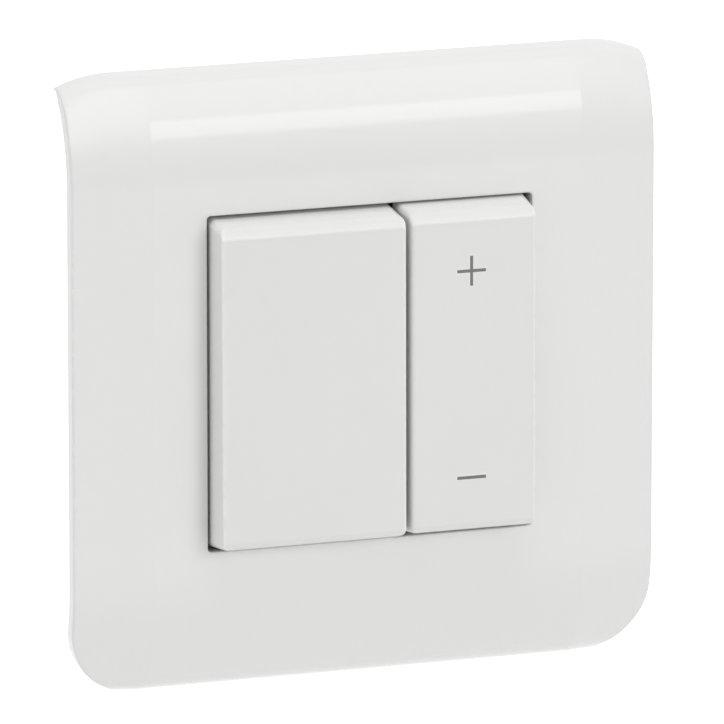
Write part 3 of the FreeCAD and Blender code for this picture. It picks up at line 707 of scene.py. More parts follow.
@dataclass(frozen=True)
class SleevedCan(Finish):
    """An aluminium can in a shrunk sleeve that leaves its far end bare."""

    sleeve: Colour
    metal: Colour
    bare_from: float
    relief: float = 0.01

    def lay(self, surface: Surface, effects: Effects) -> None:
        """The sleeve up to a depth, and metal beyond it.

        Args:
            surface: The material under way.
            effects: The shared node groups.
        """
        graph = surface.graph
        skin = surface.group(effects.moulded, {"Colour": self.sleeve, "Tone": 0.05, "Roughness": 0.3})
        metal = surface.group(effects.streaks, {"Colour": self.metal, "Amount": 0.1, "Roughness": 0.25})
        depth = graph.add("ShaderNodeSeparateXYZ", {0: graph.place()}).outputs["Y"]
        bare = graph.maths("GREATER_THAN", depth, self.bare_from * MM)
        surface.feed("Base Color", graph.blend(bare, skin["Colour"], metal["Colour"]))
        surface.feed("Metallic", bare)
        surface.feed("Roughness", skin["Roughness"])
        surface.bump(skin["Height"], self.relief)


class PaintShop:
    """Holds one material for each slot of the record and dresses the pieces with them."""

    def __init__(self, recipes: dict[str, Finish]) -> None:
        """Makes the material of every slot from its finish."""
        effects = Effects()
        self.materials = {slot: recipe.paint(slot, effects) for slot, recipe in recipes.items()}

    def dress(self, piece: Piece, slot: str, body: Optional[str], *nodes: str) -> None:
        """Gives a new piece its finish and its body, and hides the CAD nodes that it stands for.

        Args:
            piece: The new piece.
            slot: The record's slot.
            body: The CAD body that it rides on, None for a piece that rides on no body.
            *nodes: The CAD nodes that it replaces.
        """
        piece.data.materials.clear()
        piece.data.materials.append(self.materials[slot])
        if body:
            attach(piece, body)
        if nodes:
            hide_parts(*nodes)
        log.info("%s: %d faces, finish %s, body %s", piece.name, len(piece.data.polygons), slot, body)

    def dress_node(self, node: str, slot: str) -> None:
        """Gives a carried-over CAD node its finish.

        Args:
            node: The CAD node.
            slot: The record's slot.
        """
        piece = frame["nodes"][node]
        if not piece.data.materials:
            piece.data.materials.append(None)
        for number in range(len(piece.material_slots)):
            piece.material_slots[number].material = self.materials[slot]
        log.info("%s: CAD node, finish %s", node, slot)


# The pieces of the dimmer


@dataclass
class WallPlate:
    """The bowed plate with bevelled sides, its skirt, collar and snap legs."""

    bench: Bench
    half_width: float = 40.4
    top: float = 40.65
    bottom: float = 42.15
    depth: float = 9.0
    wall: float = 2.2
    flat: float = 26.6  # height up to which the front is flat
    bow: float = 26.2  # radius of the bow above and below it
    curl_top: float = 2.6  # radius with which the bow curls over to the rim
    curl_bottom: float = 5.15
    bow_share: float = 0.85  # share of the inner bow that lies behind the outer one
    crease: float = 29.9  # where the side bevels start
    bevel_fall: float = 1.9
    arc_start: float = 33.0  # where the top edge starts to sink towards its corners
    arc_radius: float = 18.0
    tip_fall: float = 1.0
    tip_power: int = 12  # how late the tips of the top corners fall back
    tip_rise: float = 0.75
    corner_bottom: float = 9.8
    opening: float = 22.5
    opening_corner: float = 0.5
    opening_front: float = 0.2
    lip_half: float = 24.0
    lip_end: float = -3.8
    skirt: Span = (36.5, 37.7)
    skirt_front: float = -5.7
    skirt_corner: float = 8.2
    leg_x: float = 15.0
    leg_half: float = 3.0
    leg_ys: Span = (-7.2, -1.0)
    leg_z: float = 30.6
    leg_thickness: float = 1.5
    hook_length: float = 0.7
    hook_reach: float = 0.6
    hook_lead: float = 0.35
    edge: float = 0.25
    edge_segments: int = 3
    bow_steps: int = 16
    curl_steps: int = 14
    rim_steps: int = 3
    edge_steps: int = 7
    side_bulge: float = 0.03
    middle_column: float = 11.0
    side_columns: tuple[float, ...] = (0.25, 0.41, 0.55, 0.68, 0.8, 0.91, 1.0)
    crease_angle: float = 0.04
    edge_angle: float = math.radians(32)
    union_gap: float = 0.1

    def half_rows(self, sign: int) -> list[Row]:
        """Points of the plate's side view from the opening's edge to the rim.

        Args:
            sign: 1 for the upper half, -1 for the lower half.

        Returns:
            Outer Y and Z and inner Y and Z of each row.
        """
        reach = self.top if sign > 0 else self.bottom
        curl = self.curl_top if sign > 0 else self.curl_bottom
        front = -self.depth
        lean = math.asin((reach - curl - self.flat) / (self.bow - curl))
        inner = self.bow - self.wall
        inner_lean = math.asin((reach - self.wall - self.flat) / inner)
        rows = [(front, z, front + self.wall, z) for z in (self.opening, self.lip_half, self.flat)]

        def under(angle: float) -> Span:
            """Y and Z of the inner surface where the bow has turned by an angle."""
            return front + self.bow - inner * math.cos(angle), self.flat + inner * math.sin(angle)

        for step in range(1, self.bow_steps + 1):
            part = step / self.bow_steps
            outer_y = front + self.bow * (1 - math.cos(lean * part))
            outer_z = self.flat + self.bow * math.sin(lean * part)
            rows.append((outer_y, outer_z, *under(inner_lean * self.bow_share * part)))
        hub = front + self.bow - (self.bow - curl) * math.cos(lean)
        for step in range(1, self.curl_steps + 1):
            part = step / self.curl_steps
            angle = lean + (math.pi / 2 - lean) * part
            outer = (hub - curl * math.cos(angle), reach - curl + curl * math.sin(angle))
            rows.append((*outer, *under(inner_lean * (self.bow_share + (1 - self.bow_share) * part))))
        start = rows[-1]
        for step in range(1, self.rim_steps + 1):
            left = 1 - step / self.rim_steps
            rows.append((start[0] * left, reach, start[2] * left, reach - self.wall))
        return [(a, sign * b, c, sign * d) for a, b, c, d in rows]

    def half_line(self, z: float) -> float:
        """Half the plate's width at height z, which shrinks round the bottom corners."""
        past = max(0.0, -z - self.bottom + self.corner_bottom)
        return self.half_width - self.corner_bottom + math.sqrt(max(0.0, self.corner_bottom**2 - past**2))

    def columns(self, half: float) -> list[float]:
        """The X of each of a row's points, from one side to the other."""
        outer = [self.crease + (half - self.crease) * share for share in self.side_columns]
        right = [self.middle_column, self.opening, self.lip_half, self.crease, *outer]
        return [-x for x in reversed(right)] + [0.0] + right

    def spot(self, x: float, y: float, z: float, rim: float, thick: float = 0.0) -> Point:
        """Lets a point back by the side bevel, and down towards the tips of the top corners.

        Args:
            x: Place across the plate.
            y: Depth in the side view.
            z: Height in the side view.
            rim: How much of the fall the row has, 1 except along the rim.
            thick: How far inside the outline its surface ends, 0 for the outer surface.

        Returns:
            The point.
        """
        past = max(0.0, abs(x) - self.arc_start)
        sink = self.arc_radius - math.sqrt(self.arc_radius**2 - past**2)
        share = max(0.0, (z - self.flat) / (self.top - self.flat))
        tip = (share * (self.top - self.flat) / (self.top - thick - self.flat)) ** self.tip_power
        tip *= (past / (self.half_width - self.arc_start)) ** 2
        fall = max(0.0, abs(x) - self.crease) * self.bevel_fall / (self.half_width - self.crease)
        fall += self.tip_fall * tip
        return x, min(0.0, y + fall * rim), z - sink * share + self.tip_rise * thick * tip

    def ring(self, row: Row, rim: float) -> list[Point]:
        """One loop round the plate's wall: over the front, round an edge, back underneath.

        Args:
            row: Outer Y and Z and inner Y and Z.
            rim: How much of the side bevels' fall this row has, 1 except along the rim.

        Returns:
            The loop's points.
        """
        outer_y, outer_z, inner_y, inner_z = row
        outer_x, inner_x = (self.half_line(z) - self.side_bulge for z in (outer_z, inner_z))
        front = [self.spot(x, outer_y, outer_z, rim) for x in self.columns(outer_x)]
        back = [self.spot(x, inner_y, inner_z, rim, self.wall) for x in reversed(self.columns(inner_x))]
        sides = []
        for side, start, finish in ((1, front[-1], back[0]), (-1, front[0], back[-1])):
            points = []
            for step in range(1, self.edge_steps):
                y, z = (a + (b - a) * step / self.edge_steps for a, b in zip(start[1:], finish[1:]))
                points.append((side * self.half_line(z), y, z))
            sides.append(points)
        return front + sides[0] + back + sides[1][::-1]

    def shell(self) -> Piece:
        """The curved wall of the plate, from a grid whose rows follow the side view.

        Operators can't reach this double form exactly, so the grid's points are placed by formula.

        Returns:
            The shell without its opening.
        """
        up, down = self.half_rows(1), self.half_rows(-1)
        falls = [1.0] * (len(up) - self.rim_steps)
        falls += [1 - step / self.rim_steps for step in range(1, self.rim_steps + 1)]
        rings = [self.ring(row, rim) for row, rim in zip(down[::-1] + up, falls[::-1] + falls)]
        across = len(rings[0]) + 1
        self.bench.clear()
        bpy.ops.mesh.primitive_grid_add(x_subdivisions=across - 1, y_subdivisions=len(rings) - 1, size=1)
        piece = self.bench.settle("wall_plate_shell")
        points = [ring[number % len(ring)] for ring in rings for number in range(across)]
        for vertex, point in zip(piece.data.vertices, points):
            vertex.co = Vector(point) * MM
        self.bench.pick(piece, Pick.VERTICES)
        bpy.ops.mesh.remove_doubles(threshold=self.bench.SLIVER * MM)

        hair = 0.0001 * MM

        def along_rim(level: int) -> Test:
            """A test for the open edges along the top or bottom rim."""

            def wanted(edge: Any) -> bool:
                """Whether an open edge runs across the plate on this level."""
                run = edge.verts[0].co - edge.verts[1].co
                is_rim = abs(run.x) > hair if level > 0 else abs(run.z) < hair
                return edge.is_boundary and is_rim and level * edge.verts[0].co.z > 0

            return wanted

        for level in (1, -1):
            self.bench.pick(piece, Pick.EDGES, along_rim(level))
            bpy.ops.mesh.bridge_edge_loops()
        self.bench.pick(piece, Pick.EDGES, lambda edge: edge.is_boundary)
        bpy.ops.mesh.fill_holes(sides=8)
        return piece

    def open_up(self, piece: Piece) -> None:
        """Cuts the square opening and draws the collar out behind it.

        Args:
            piece: The shell.
        """
        half = self.opening * MM
        lip = self.lip_half * MM

        def inside(face: Any) -> bool:
            """Whether a face lies within the opening."""
            middle = face.calc_center_median()
            return abs(middle.x) < half and abs(middle.z) < half

        def on_lip(face: Any) -> bool:
            """Whether a rear face lies between the opening and the collar's outside."""
            middle = face.calc_center_median()
            return half < max(abs(middle.x), abs(middle.z)) < lip and face.normal.y > FACING

        self.bench.pick(piece, Pick.FACES, inside)
        bpy.ops.mesh.delete(type="FACE")
        self.bench.pick(piece, Pick.EDGES, lambda edge: edge.is_boundary)
        bpy.ops.mesh.bridge_edge_loops()
        self.bench.pick(piece, Pick.VERTICES)
        bpy.ops.mesh.normals_make_consistent(inside=False)
        self.bench.pick(piece, Pick.FACES, on_lip)
        self.bench.pull(y=self.lip_end + self.depth - self.wall)

    def round_edges(self, piece: Piece) -> None:
        """Rounds the creases, the opening and the outer edges.

        Args:
            piece: The opened shell.
        """
        half = self.opening * MM
        tiny = 0.01 * MM

        def on_crease(edge: Any) -> bool:
            """Whether an edge is part of a side crease on the front."""
            run = both_ends(edge, lambda co: abs(abs(co.x) - self.crease * MM) < tiny)
            bent = run and edge.calc_face_angle(0) > self.crease_angle
            return bent and sum(face.normal.y for face in edge.link_faces) < 0.01

        def at_corner(edge: Any) -> bool:
            """Whether an edge runs back along a corner of the opening."""
            ends = both_ends(edge, lambda co: abs(abs(co.x) - half) < tiny and abs(abs(co.z) - half) < tiny)
            return ends and runs_back(edge)

        def at_front(edge: Any) -> bool:
            """Whether an edge borders the opening on the front."""
            flat = both_ends(edge, lambda co: abs(co.y + self.depth * MM) < tiny)
            near = both_ends(edge, lambda co: max(abs(co.x), abs(co.z)) < half + tiny)
            return flat and near and edge.calc_face_angle(0) > 1.0

        def outer_edge(edge: Any) -> bool:
            """Whether an edge runs round the outside of the front or the rear, short of the top tips."""
            outside = both_ends(
                edge, lambda co: abs(co.x) > (self.half_line(co.z / MM) - 2 * self.side_bulge) * MM
            )
            outside = outside and both_ends(edge, lambda co: co.z < (self.top - self.wall - 1.0) * MM)
            return outside and edge.calc_face_angle(0) > self.edge_angle

        roundings = (
            (on_crease, self.edge, self.edge_segments),
            (outer_edge, self.edge, self.edge_segments),
            (at_corner, self.opening_corner, 4),
            (at_front, self.opening_front, self.edge_segments),
        )
        for test, width, segments in roundings:
            self.bench.round_off(piece, Pick.EDGES, test, width, segments)

    def hidden_skirt(self) -> Piece:
        """The skirt round the support frame, from a box hollowed out in steps.

        Returns:
            The skirt.
        """
        inner, outer = self.skirt
        piece = self.bench.block(
            "wall_plate_skirt", around(0, outer), (self.skirt_front, 0), around(0, outer)
        )
        self.bench.round_off(piece, Pick.EDGES, runs_back, self.skirt_corner, 10)
        self.bench.pick(piece, Pick.FACES, lambda face: abs(face.normal.y) > FACING)
        bpy.ops.mesh.inset(thickness=(outer - inner) * MM)
        self.bench.pick(piece, Pick.FACES, lambda face: abs(face.normal.y) > FACING and len(face.verts) > 4)
        bpy.ops.mesh.bridge_edge_loops()
        return piece

    def leg(self, side: int, up: int) -> Piece:
        """One hooked leg, drawn out of a box with a lead-in at its tip.

        Args:
            side: 1 for right, -1 for left.
            up: 1 for the top pair, -1 for the bottom pair.

        Returns:
            The leg.
        """
        outside = self.leg_z + self.leg_thickness
        xs = around(side * self.leg_x, self.leg_half)
        piece = self.bench.block("wall_plate_leg", xs, self.leg_ys, (up * self.leg_z, up * outside))
        start = self.leg_ys[1] * MM
        tip = (self.leg_ys[1] + self.hook_length) * MM
        hook = (outside + self.hook_reach) * MM

        def above_tip(face: Any) -> bool:
            """Whether a face is the tip's outer one, from which the hook is drawn."""
            return face.normal.z * up > FACING and face.calc_center_median().y > start

        def at_lead(co: Vector) -> bool:
            """Whether a place lies along the hook's outer edge at the tip."""
            return abs(co.y - tip) < SAME_PLACE and abs(abs(co.z) - hook) < SAME_PLACE

        self.bench.pick(piece, Pick.FACES, lambda face: face.normal.y > FACING)
        self.bench.pull(y=self.hook_length)
        self.bench.pick(piece, Pick.FACES, above_tip)
        self.bench.pull(z=up * self.hook_reach)
        self.bench.round_off(piece, Pick.EDGES, lambda edge: both_ends(edge, at_lead), self.hook_lead, 2)
        return piece

    def build(self, shop: PaintShop) -> None:
        """Models and dresses the plate.

        Args:
            shop: Where its finish comes from.
        """
        piece = self.shell()
        self.open_up(piece)
        self.round_edges(piece)
        self.bench.clear()
        side = self.half_width * MM
        for vertex in piece.data.vertices:  # the rounding spreads past the sides at the thin tips
            vertex.co.x = max(-side, min(side, vertex.co.x))
        tools = [self.hidden_skirt()]
        tools += [self.leg(side, up) for side in (-1, 1) for up in (-1, 1)]
        self.bench.combine(piece, tools, "UNION")

        def open_point(vertex: Any) -> bool:
            """Whether an open edge ends here, of the few that the union leaves at the top tips."""
            return any(len(edge.link_faces) < 2 for edge in vertex.link_edges)

        self.bench.pick(piece, Pick.VERTICES, open_point)
        bpy.ops.mesh.remove_doubles(threshold=self.union_gap * MM)
        self.bench.smooth(piece, 30)
        piece.name = piece.data.name = "wall_plate_dressed"
        shop.dress(piece, "plate_white", BASE, "wall_plate")


@dataclass
class KeyCap:
    """A hollow key cap: sloping front, band under its top, four posts."""

    bench: Bench
    name: str
    node: str
    body: str
    xs: Span
    tapers: Span
    posts: tuple[Span, Span]
    side_edges: Span
    marks: Optional[str] = None
    lift: float = 0.0
    half_height: float = 22.2
    rear: float = -7.0
    band: Span = (-13.3, 21.6)
    top_edge: Span = (-13.95, 20.25)
    bottom_edge: Span = (-14.25, -21.2)
    corner: float = 0.9
    brow: float = 0.9
    brow_from: float = 21.0
    crease: float = 0.4
    foot: float = 1.3
    wall: float = 1.2
    rim_gap: float = 0.1
    cavity: float = -12.5
    room_corner: float = 0.6
    room_floor: float = 0.3
    post_root: float = 0.5
    post_radius: float = 1.5
    tip_radius: float = 1.0
    post_ends: Span = (-6.6, -5.4)
    post_sides: int = 32

    def outside(self) -> Piece:
        """The cap's outer form, shaped from a box.

        Returns:
            The solid cap.
        """
        bench = self.bench
        front = self.bottom_edge[0]
        piece = bench.block(self.name, self.xs, (front, self.rear), (-self.half_height, self.half_height))
        bench.pick(piece, Pick.FACES)
        bpy.ops.mesh.bisect(plane_co=(0, 0, self.top_edge[1] * MM), plane_no=(0, 0, 1))

        def at(y: float, z: float) -> Test:
            """A test for vertices at a place of the side view."""
            return lambda v: abs(v.co.y - y * MM) < SAME_PLACE and abs(v.co.z - z * MM) < SAME_PLACE

        for start, end in (
            ((front, self.top_edge[1]), self.top_edge),
            ((front, self.half_height), self.band),
            ((front, -self.half_height), self.bottom_edge),
        ):
            bench.pick(piece, Pick.VERTICES, at(*start))
            bench.shift(y=end[0] - start[0], z=end[1] - start[1])
        run = self.rear - front
        for place in (self.top_edge, self.band, self.bottom_edge):
            lean = (self.rear - place[0]) / run
            for x, taper in ((self.xs[0], self.tapers[0]), (self.xs[1], -self.tapers[1])):
                bench.pick(
                    piece, Pick.VERTICES, lambda v: at(*place)(v) and abs(v.co.x - x * MM) < SAME_PLACE
                )
                bench.shift(x=taper * lean)
        bench.pick(piece, Pick.FACES)
        bpy.ops.mesh.dissolve_limited(angle_limit=math.radians(0.1))
        return piece

    def round_edges(self, piece: Piece) -> None:
        """Rounds the cap's corners, its front and its crease.

        Args:
            piece: The solid cap.
        """

        def width(edge: Any) -> float:
            """How far an edge is rounded: not at all round the open rear."""
            first, second = (vertex.co / MM for vertex in edge.verts)
            at_rear = [spot.y > self.rear - 0.01 for spot in (first, second)]
            if any(at_rear):
                return 0.0 if all(at_rear) else self.corner
            if abs(first.x - second.x) < 1.0:
                return self.side_edges[0 if first.x < sum(self.xs) / 2 else 1]
            return self.foot if first.z < 0 else self.brow if first.z > self.brow_from else self.crease

        self.bench.round_by_width(piece, width)

    def room_inside(self) -> Piece:
        """The hollow behind the cap's front, a box with round corners.

        Returns:
            The shape to cut out.
        """
        xs = (self.xs[0] + self.wall + self.tapers[0] / 2, self.xs[1] - self.wall - self.tapers[1] / 2)
        zs = around(0, self.half_height - self.wall - self.rim_gap)
        room = self.bench.block("room", xs, (self.cavity, self.rear + 1.0), zs)
        self.bench.round_off(room, Pick.EDGES, runs_back, self.room_corner, 4)
        self.bench.round_off(room, Pick.FACES, lambda face: face.normal.y < -FACING, self.room_floor, 2)
        return room

    def post(self, x: float, z: float) -> Piece:
        """One post that joins the cap to its rocker, stepped down to a tip.

        Args:
            x: Its place across the cap.
            z: Its height.

        Returns:
            The post.
        """
        run = (self.cavity - self.post_root, self.post_ends[0])
        rod = self.bench.rod("post", (x, z), run, (self.post_radius, self.post_radius), self.post_sides)
        self.bench.pick(rod, Pick.FACES, lambda face: face.normal.y > FACING)
        bpy.ops.mesh.inset(thickness=(self.post_radius - self.tip_radius) * MM)
        self.bench.pull(y=self.post_ends[1] - self.post_ends[0])
        return rod

    def build(self, shop: PaintShop) -> None:
        """Models and dresses the cap.

        Args:
            shop: Where its finish comes from.
        """
        piece = self.outside()
        self.round_edges(piece)
        self.bench.combine(piece, [self.room_inside()], "DIFFERENCE")
        piece.data.transform(Matrix.Translation((0, 0, self.lift * MM)))
        rods = [self.post(x, z) for x in self.posts[0] for z in self.posts[1]]
        self.bench.combine(piece, rods, "UNION")
        if self.marks:
            self.bench.combine(piece, [self.bench.copy_of(self.marks, "mark_pockets")], "DIFFERENCE")
        self.bench.smooth(piece, 30)
        shop.dress(piece, "key_white", self.body, self.node)


@dataclass
class RearHousing:
    """The rear box: softened, with lead-ins round its wire mouths."""

    bench: Bench
    rear: float = 33.5
    mouth_z: float = -11.9
    mouth_radius: float = 1.75
    funnel_radius: float = 2.7
    funnel_depth: float = 0.9
    funnel_sides: int = 40
    mouths: tuple[float, ...] = (-13.5, -4.5, 4.5, 13.5)
    softness: float = 0.2

    def build(self, shop: PaintShop) -> None:
        """Models and dresses the housing.

        Args:
            shop: Where its finish comes from.
        """
        piece = self.bench.copy_of("rear_housing", "rear_housing_dressed")
        run = (self.rear - self.funnel_depth, self.rear + 0.01)
        radii = (self.mouth_radius, self.funnel_radius)
        spots = [(x, self.mouth_z) for x in self.mouths]
        cones = [self.bench.rod("funnel", spot, run, radii, self.funnel_sides) for spot in spots]
        self.bench.combine(piece, cones, "DIFFERENCE")
        self.bench.soften(piece, self.softness)
        shop.dress(piece, "housing_grey", BASE, "rear_housing")


@dataclass
class SoftenedNodes:
    """CAD nodes of the right shape whose edges only need the roundness of a moulding or pressing."""

    bench: Bench
    pieces: dict[str, tuple[str, float]] = field(
        default_factory=lambda: {
            "support_frame": ("support_grey", 0.25),
            "insert_frame": ("frame_anthracite", 0.15),
            "housing_screws": ("zinc_steel", 0.15),
            "terminal_screws": ("zinc_steel", 0.15),
            "terminal_clamps": ("terminal_brass", 0.15),
            "terminal_block": ("frame_anthracite", 0.15),
        }
    )

    def build(self, shop: PaintShop) -> None:
        """Models and dresses each softened copy.

        Args:
            shop: Where the finishes come from.
        """
        for node, (slot, width) in self.pieces.items():
            piece = self.bench.copy_of(node, node + "_dressed")
            self.bench.soften(piece, width)
            shop.dress(piece, slot, BASE, node)


@dataclass
class SnapDomes:
    """The three snap domes, each of which its stem presses in at the middle while its rim stays; here they
    are smoothed copies that ride on no body.
    """

    bench: Bench
    switches: tuple[str, ...] = ("on_off", "plus", "minus")

    def build(self, shop: PaintShop) -> None:
        """Models and dresses the domes.

        Args:
            shop: Where their finish comes from.
        """
        for switch in self.switches:
            node = switch + "_dome"
            piece = self.bench.copy_of(node, node + "_dressed")
            self.bench.smooth(piece)
            shop.dress(piece, "dome_steel", None, node)
            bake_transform(piece)


# The studio: camera, lamps, floor and surroundings


class Reach(Enum):
    """What a lamp does: light up surfaces, show in their gloss, or both."""

    BOTH = (True, True)
    SURFACES = (True, False)
    GLOSS = (False, True)


@dataclass
class Lamp:
    """A rectangular soft light, placed by its direction from the object, with or without a graded front."""

    name: str
    azimuth: float
    elevation: float
    distance: float
    width: float
    height: float
    radiance: float
    reach: Reach = Reach.BOTH
    graded: bool = False
    fade_low: Span = (0.07, 0.42)
    fade_high: Span = (1.0, 0.65)
    fade_right: Span = (0.95, 0.45)

    def grade(self, data: bpy.types.Light) -> None:
        """Fades the front out towards its lower edge, its upper edge and its right side.

        Args:
            data: The light.
        """
        graph = Graph.emptied(data)
        spot = graph.add("ShaderNodeNewGeometry").outputs["Parametric"]
        across, up = graph.add("ShaderNodeSeparateXYZ", {0: spot}).outputs[:2]
        low = graph.ramp(up, *self.fade_low, interpolation_type="SMOOTHSTEP")
        strength = graph.maths("MULTIPLY", low, graph.ramp(up, *self.fade_high))
        strength = graph.maths("MULTIPLY", strength, graph.ramp(across, *self.fade_right))
        front = graph.add("ShaderNodeEmission", {"Color": PLAIN_WHITE, "Strength": strength})
        graph.add("ShaderNodeOutputLight", {"Surface": front.outputs[0]})

    def place(self) -> None:
        """Adds the light, facing the object."""
        way = direction(self.azimuth, self.elevation)
        data = bpy.data.lights.new(self.name, "AREA")
        data.shape = "RECTANGLE"
        data.size = self.width
        data.size_y = self.height
        data.energy = self.radiance * math.pi * self.width * self.height
        if self.graded:
            self.grade(data)
        lamp = bpy.data.objects.new(self.name, data)
        lamp.visible_diffuse, lamp.visible_glossy = self.reach.value
        lamp.location = way * self.distance
        lamp.rotation_euler = way.to_track_quat("Z", "Y").to_euler()
        bpy.context.scene.collection.objects.link(lamp)


@dataclass
class Studio:
    """The camera, the lights, the floor and the white surroundings."""

    azimuth: float = -19.4
    elevation: float = 13.15
    distance: float = 1400.0
    pixels_per_mm: float = 7.63
    frame_pixels: float = 724.0
    sensor: float = 36.0
    near_and_far: Span = (0.01, 50.0)
    aim: Point = (0.0, -9.0, 0.0)
    aim_right: float = -1.11
    aim_up: float = 1.36
    surroundings: float = 0.57
    floor_height: float = -0.2  # metres, as its size
    floor_size: float = 60.0
    floor_colour: Colour = (0.86, 0.86, 0.86)
    lamps: tuple[Lamp, ...] = (
        Lamp("strip_light", 19.0, 21.5, 1.2, 0.36, 0.2, 1.6),
        Lamp("glow_light", 5.0, 37.0, 1.3, 3.7, 1.62, 1.58, Reach.GLOSS, True),
        Lamp("main_light", 21.0, 16.0, 1.3, 0.5, 0.5, 5.35, Reach.SURFACES),
        Lamp("left_light", -88.0, 5.0, 1.2, 0.5, 0.5, 3.8, Reach.SURFACES),
        Lamp("right_light", 72.0, -15.0, 1.2, 0.5, 0.5, 1.8, Reach.SURFACES),
        Lamp("ceiling_light", 0.0, 84.0, 1.2, 0.6, 0.6, 5.7, Reach.SURFACES),
    )

    def set_camera(self) -> None:
        """Places the camera where the photograph was taken from."""
        back = direction(self.azimuth, self.elevation)
        turn = math.radians(self.azimuth)
        right = Vector((math.cos(turn), math.sin(turn), 0.0))
        up = back.cross(right)
        point = (Vector(self.aim) + right * self.aim_right + up * self.aim_up) * MM
        data = bpy.data.cameras.new("camera")
        data.sensor_width = self.sensor
        data.lens = self.sensor * self.pixels_per_mm * self.distance / self.frame_pixels
        data.clip_start, data.clip_end = self.near_and_far
        camera = bpy.data.objects.new("camera", data)
        turning = Matrix((right, up, back)).transposed().to_4x4()
        camera.matrix_world = Matrix.Translation(point + back * self.distance * MM) @ turning
        bpy.context.scene.collection.objects.link(camera)
        bpy.context.scene.camera = camera

    def set_surroundings(self) -> None:
        """Lights the object evenly, and shows white to the camera and in reflections."""
        world = bpy.data.worlds.new("studio")
        graph = Graph.emptied(world)
        strength = graph.ramp(graph.seen(), 0.0, 1.0, self.surroundings, 1.0)
        sky = graph.add("ShaderNodeBackground", {"Color": PLAIN_WHITE, "Strength": strength})
        graph.add("ShaderNodeOutputWorld", {"Surface": sky.outputs[0]})
        bpy.context.scene.world = world

    def lay_floor(self) -> None:
        """A plain pale floor well below the object, white to the camera, keeping the shadow."""
        bpy.ops.object.select_all(action="DESELECT")
        bpy.ops.mesh.primitive_plane_add(size=self.floor_size, location=(0, 0, self.floor_height))
        floor = bpy.context.object
        floor.name = "floor"
        bpy.ops.object.transform_apply(location=True)
        material = bpy.data.materials.new("floor_pale")
        graph = Graph.emptied(material)
        cloud = graph.ramp(graph.noise(graph.place(), scale=3.0, detail=3.0), 0.3, 0.7, 0.985, 1.0)
        plain = graph.add("ShaderNodeBsdfDiffuse", {"Color": graph.scaled(self.floor_colour, cloud)})
        white = graph.add("ShaderNodeEmission", {"Color": PLAIN_WHITE, "Strength": 0.5})
        bright = graph.add("ShaderNodeBsdfDiffuse", {"Color": PLAIN_WHITE})
        lifted = graph.add("ShaderNodeAddShader", {0: bright.outputs[0], 1: white.outputs[0]})
        shown = graph.add("ShaderNodeMixShader", {0: graph.seen(), 1: plain.outputs[0], 2: lifted.outputs[0]})
        graph.add("ShaderNodeOutputMaterial", {"Surface": shown.outputs[0]})
        floor.data.materials.append(material)

    def build(self) -> None:
        """Sets everything up."""
        self.set_camera()
        self.set_surroundings()
        self.lay_floor()
        for lamp in self.lamps:
            lamp.place()
        bpy.context.scene.view_settings.view_transform = "Standard"
        log.info("studio: camera and %d lamps", len(self.lamps))


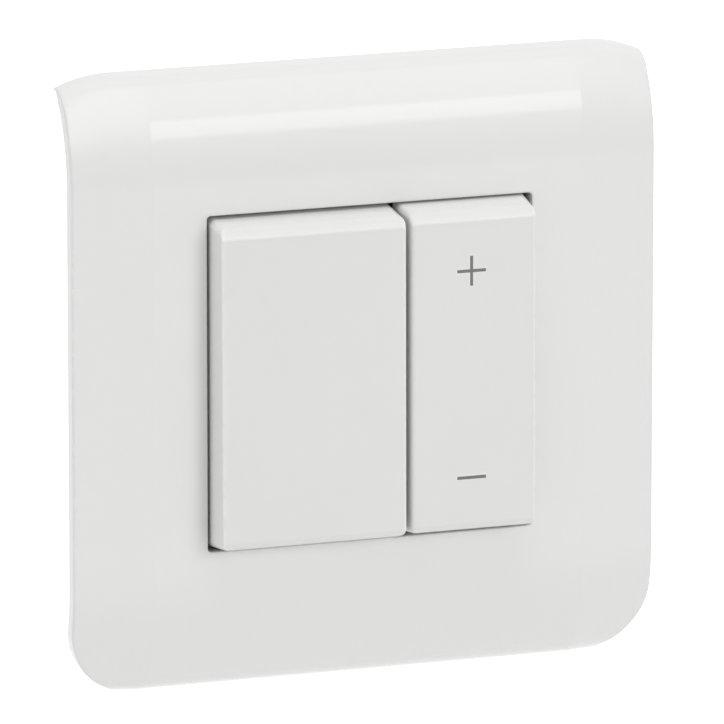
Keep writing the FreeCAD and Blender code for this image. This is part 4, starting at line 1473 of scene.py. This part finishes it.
PLATE_WHITE = shade(220, 220, 218)
KEY_WHITE = shade(216, 216, 214)
RECIPES: dict[str, Finish] = {
    # The plate's edges are painted darker: painted shade along its sides, creases and opening.
    "plate_white": MouldedPlastic(
        PLATE_WHITE, 0.07, tone=0.008, depth=0.0004, haze=0.01, edge_wear_and_light=0.9, edge_wear_and_light_tint=0.86
    ),
    # The keys' edges are painted lighter: a painted highlight along them.
    "key_white": MouldedPlastic(KEY_WHITE, 0.16, tone=0.008, depth=0.0006, haze=0.02, edge_wear_and_light=0.9, edge_wear_and_light_tint=1.2),
    "mark_grey": MouldedPlastic(shade(108, 108, 104), 0.45, tone=0.05, depth=0.004, edge_wear_and_light=0.0),
    "frame_anthracite": MouldedPlastic(shade(58, 58, 60), 0.45, tone=0.04, depth=0.008),
    "support_grey": MouldedPlastic(shade(150, 152, 154), 0.45, tone=0.05, depth=0.012),
    "rocker_white": MouldedPlastic(shade(198, 198, 192), 0.42, tone=0.03, depth=0.006),
    "housing_grey": MouldedPlastic(shade(120, 122, 125), 0.5, tone=0.05, depth=0.02, grain=2600.0),
    "zinc_steel": DrawnMetal(shade(190, 190, 188), shade(120, 116, 108), 0.35, 0.3),
    "terminal_brass": DrawnMetal(shade(205, 170, 100), shade(120, 90, 50), 0.35, 0.28),
    "stem_black": MouldedPlastic(shade(38, 38, 40), 0.4, tone=0.08),
    "switch_black": MouldedPlastic(shade(30, 30, 32), 0.45, tone=0.1, depth=0.01),
    "dome_steel": DrawnMetal(shade(200, 200, 200), shade(130, 128, 124), 0.15, 0.18),
    "board_green": PrintedBoard(shade(28, 92, 52), shade(48, 124, 70)),
    "chip_black": MouldedPlastic(shade(32, 32, 34), 0.55, tone=0.1, depth=0.015, grain=5200.0),
    "part_ceramic": MouldedPlastic(shade(150, 122, 92), 0.5, tone=0.12, depth=0.01),
    "spacer_nylon": MouldedPlastic(shade(215, 212, 200), 0.38, tone=0.03),
    "sink_aluminium": DrawnMetal(shade(196, 198, 200), shade(150, 150, 150), 0.2, 0.35, 0.004),
    "pad_silicone": MouldedPlastic(shade(170, 180, 186), 0.7, tone=0.06, depth=0.02),
    "ferrite": MouldedPlastic(shade(58, 56, 56), 0.65, tone=0.18, depth=0.03, grain=3000.0),
    # The second colour is tarnish and the painted shade between the turns.
    "copper_wire": WoundWire(shade(186, 104, 60), shade(60, 26, 14), (-10.0, 8.0)),
    "film_yellow": MouldedPlastic(shade(224, 186, 52), 0.3, tone=0.06, depth=0.01),
    "can_sleeve": SleevedCan(shade(38, 44, 60), shade(200, 200, 200), 20.6),
    "varistor_blue": MouldedPlastic(shade(40, 84, 150), 0.35, tone=0.08, depth=0.02),
    "fuse_brown": MouldedPlastic(shade(96, 60, 40), 0.4, tone=0.1, depth=0.01),
}


def dress_rest(shop: PaintShop) -> None:
    """Gives every CAD node that stays its finish.

    Args:
        shop: Where the finishes come from.
    """
    for part in frame["record"]["subparts"]:
        if not frame["nodes"][part["node"]].hide_render:
            shop.dress_node(part["node"], part["material_slot"])


def key_caps(bench: Bench) -> tuple[KeyCap, KeyCap]:
    """The on-off key's cap and the dimming key's cap.

    Args:
        bench: Where they are modelled.

    Returns:
        The two caps.
    """
    post_heights = (-15.0, 11.4)
    on_off = KeyCap(
        bench,
        name="on_off_cap",
        node="on_off_key",
        body="on_off",
        xs=(-22.15, 3.4),
        tapers=(0.05, 0.2),
        posts=((-15.6, -3.4), post_heights),
        side_edges=(0.45, 0.2),
    )
    dimming = KeyCap(
        bench,
        name="dimming_cap",
        node="dimming_key",
        body="dimmer",
        xs=(3.7, 22.05),
        tapers=(0.2, 0.85),
        posts=((10.6, 15.6), post_heights),
        side_edges=(0.75, 0.2),
        marks="dimming_marks",
        lift=0.2,
    )
    return on_off, dimming


def main() -> None:
    """Builds, dresses and lights everything."""
    logging.basicConfig(level=logging.INFO, format="%(name)s: %(message)s")
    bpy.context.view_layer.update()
    Studio().build()
    shop = PaintShop(RECIPES)
    bench = Bench()
    for assembly in (
        WallPlate(bench),
        *key_caps(bench),
        RearHousing(bench),
        SoftenedNodes(bench),
        SnapDomes(bench),
    ):
        assembly.build(shop)
    dress_rest(shop)
    bench.clear()


if __name__ == "__main__":
    main()
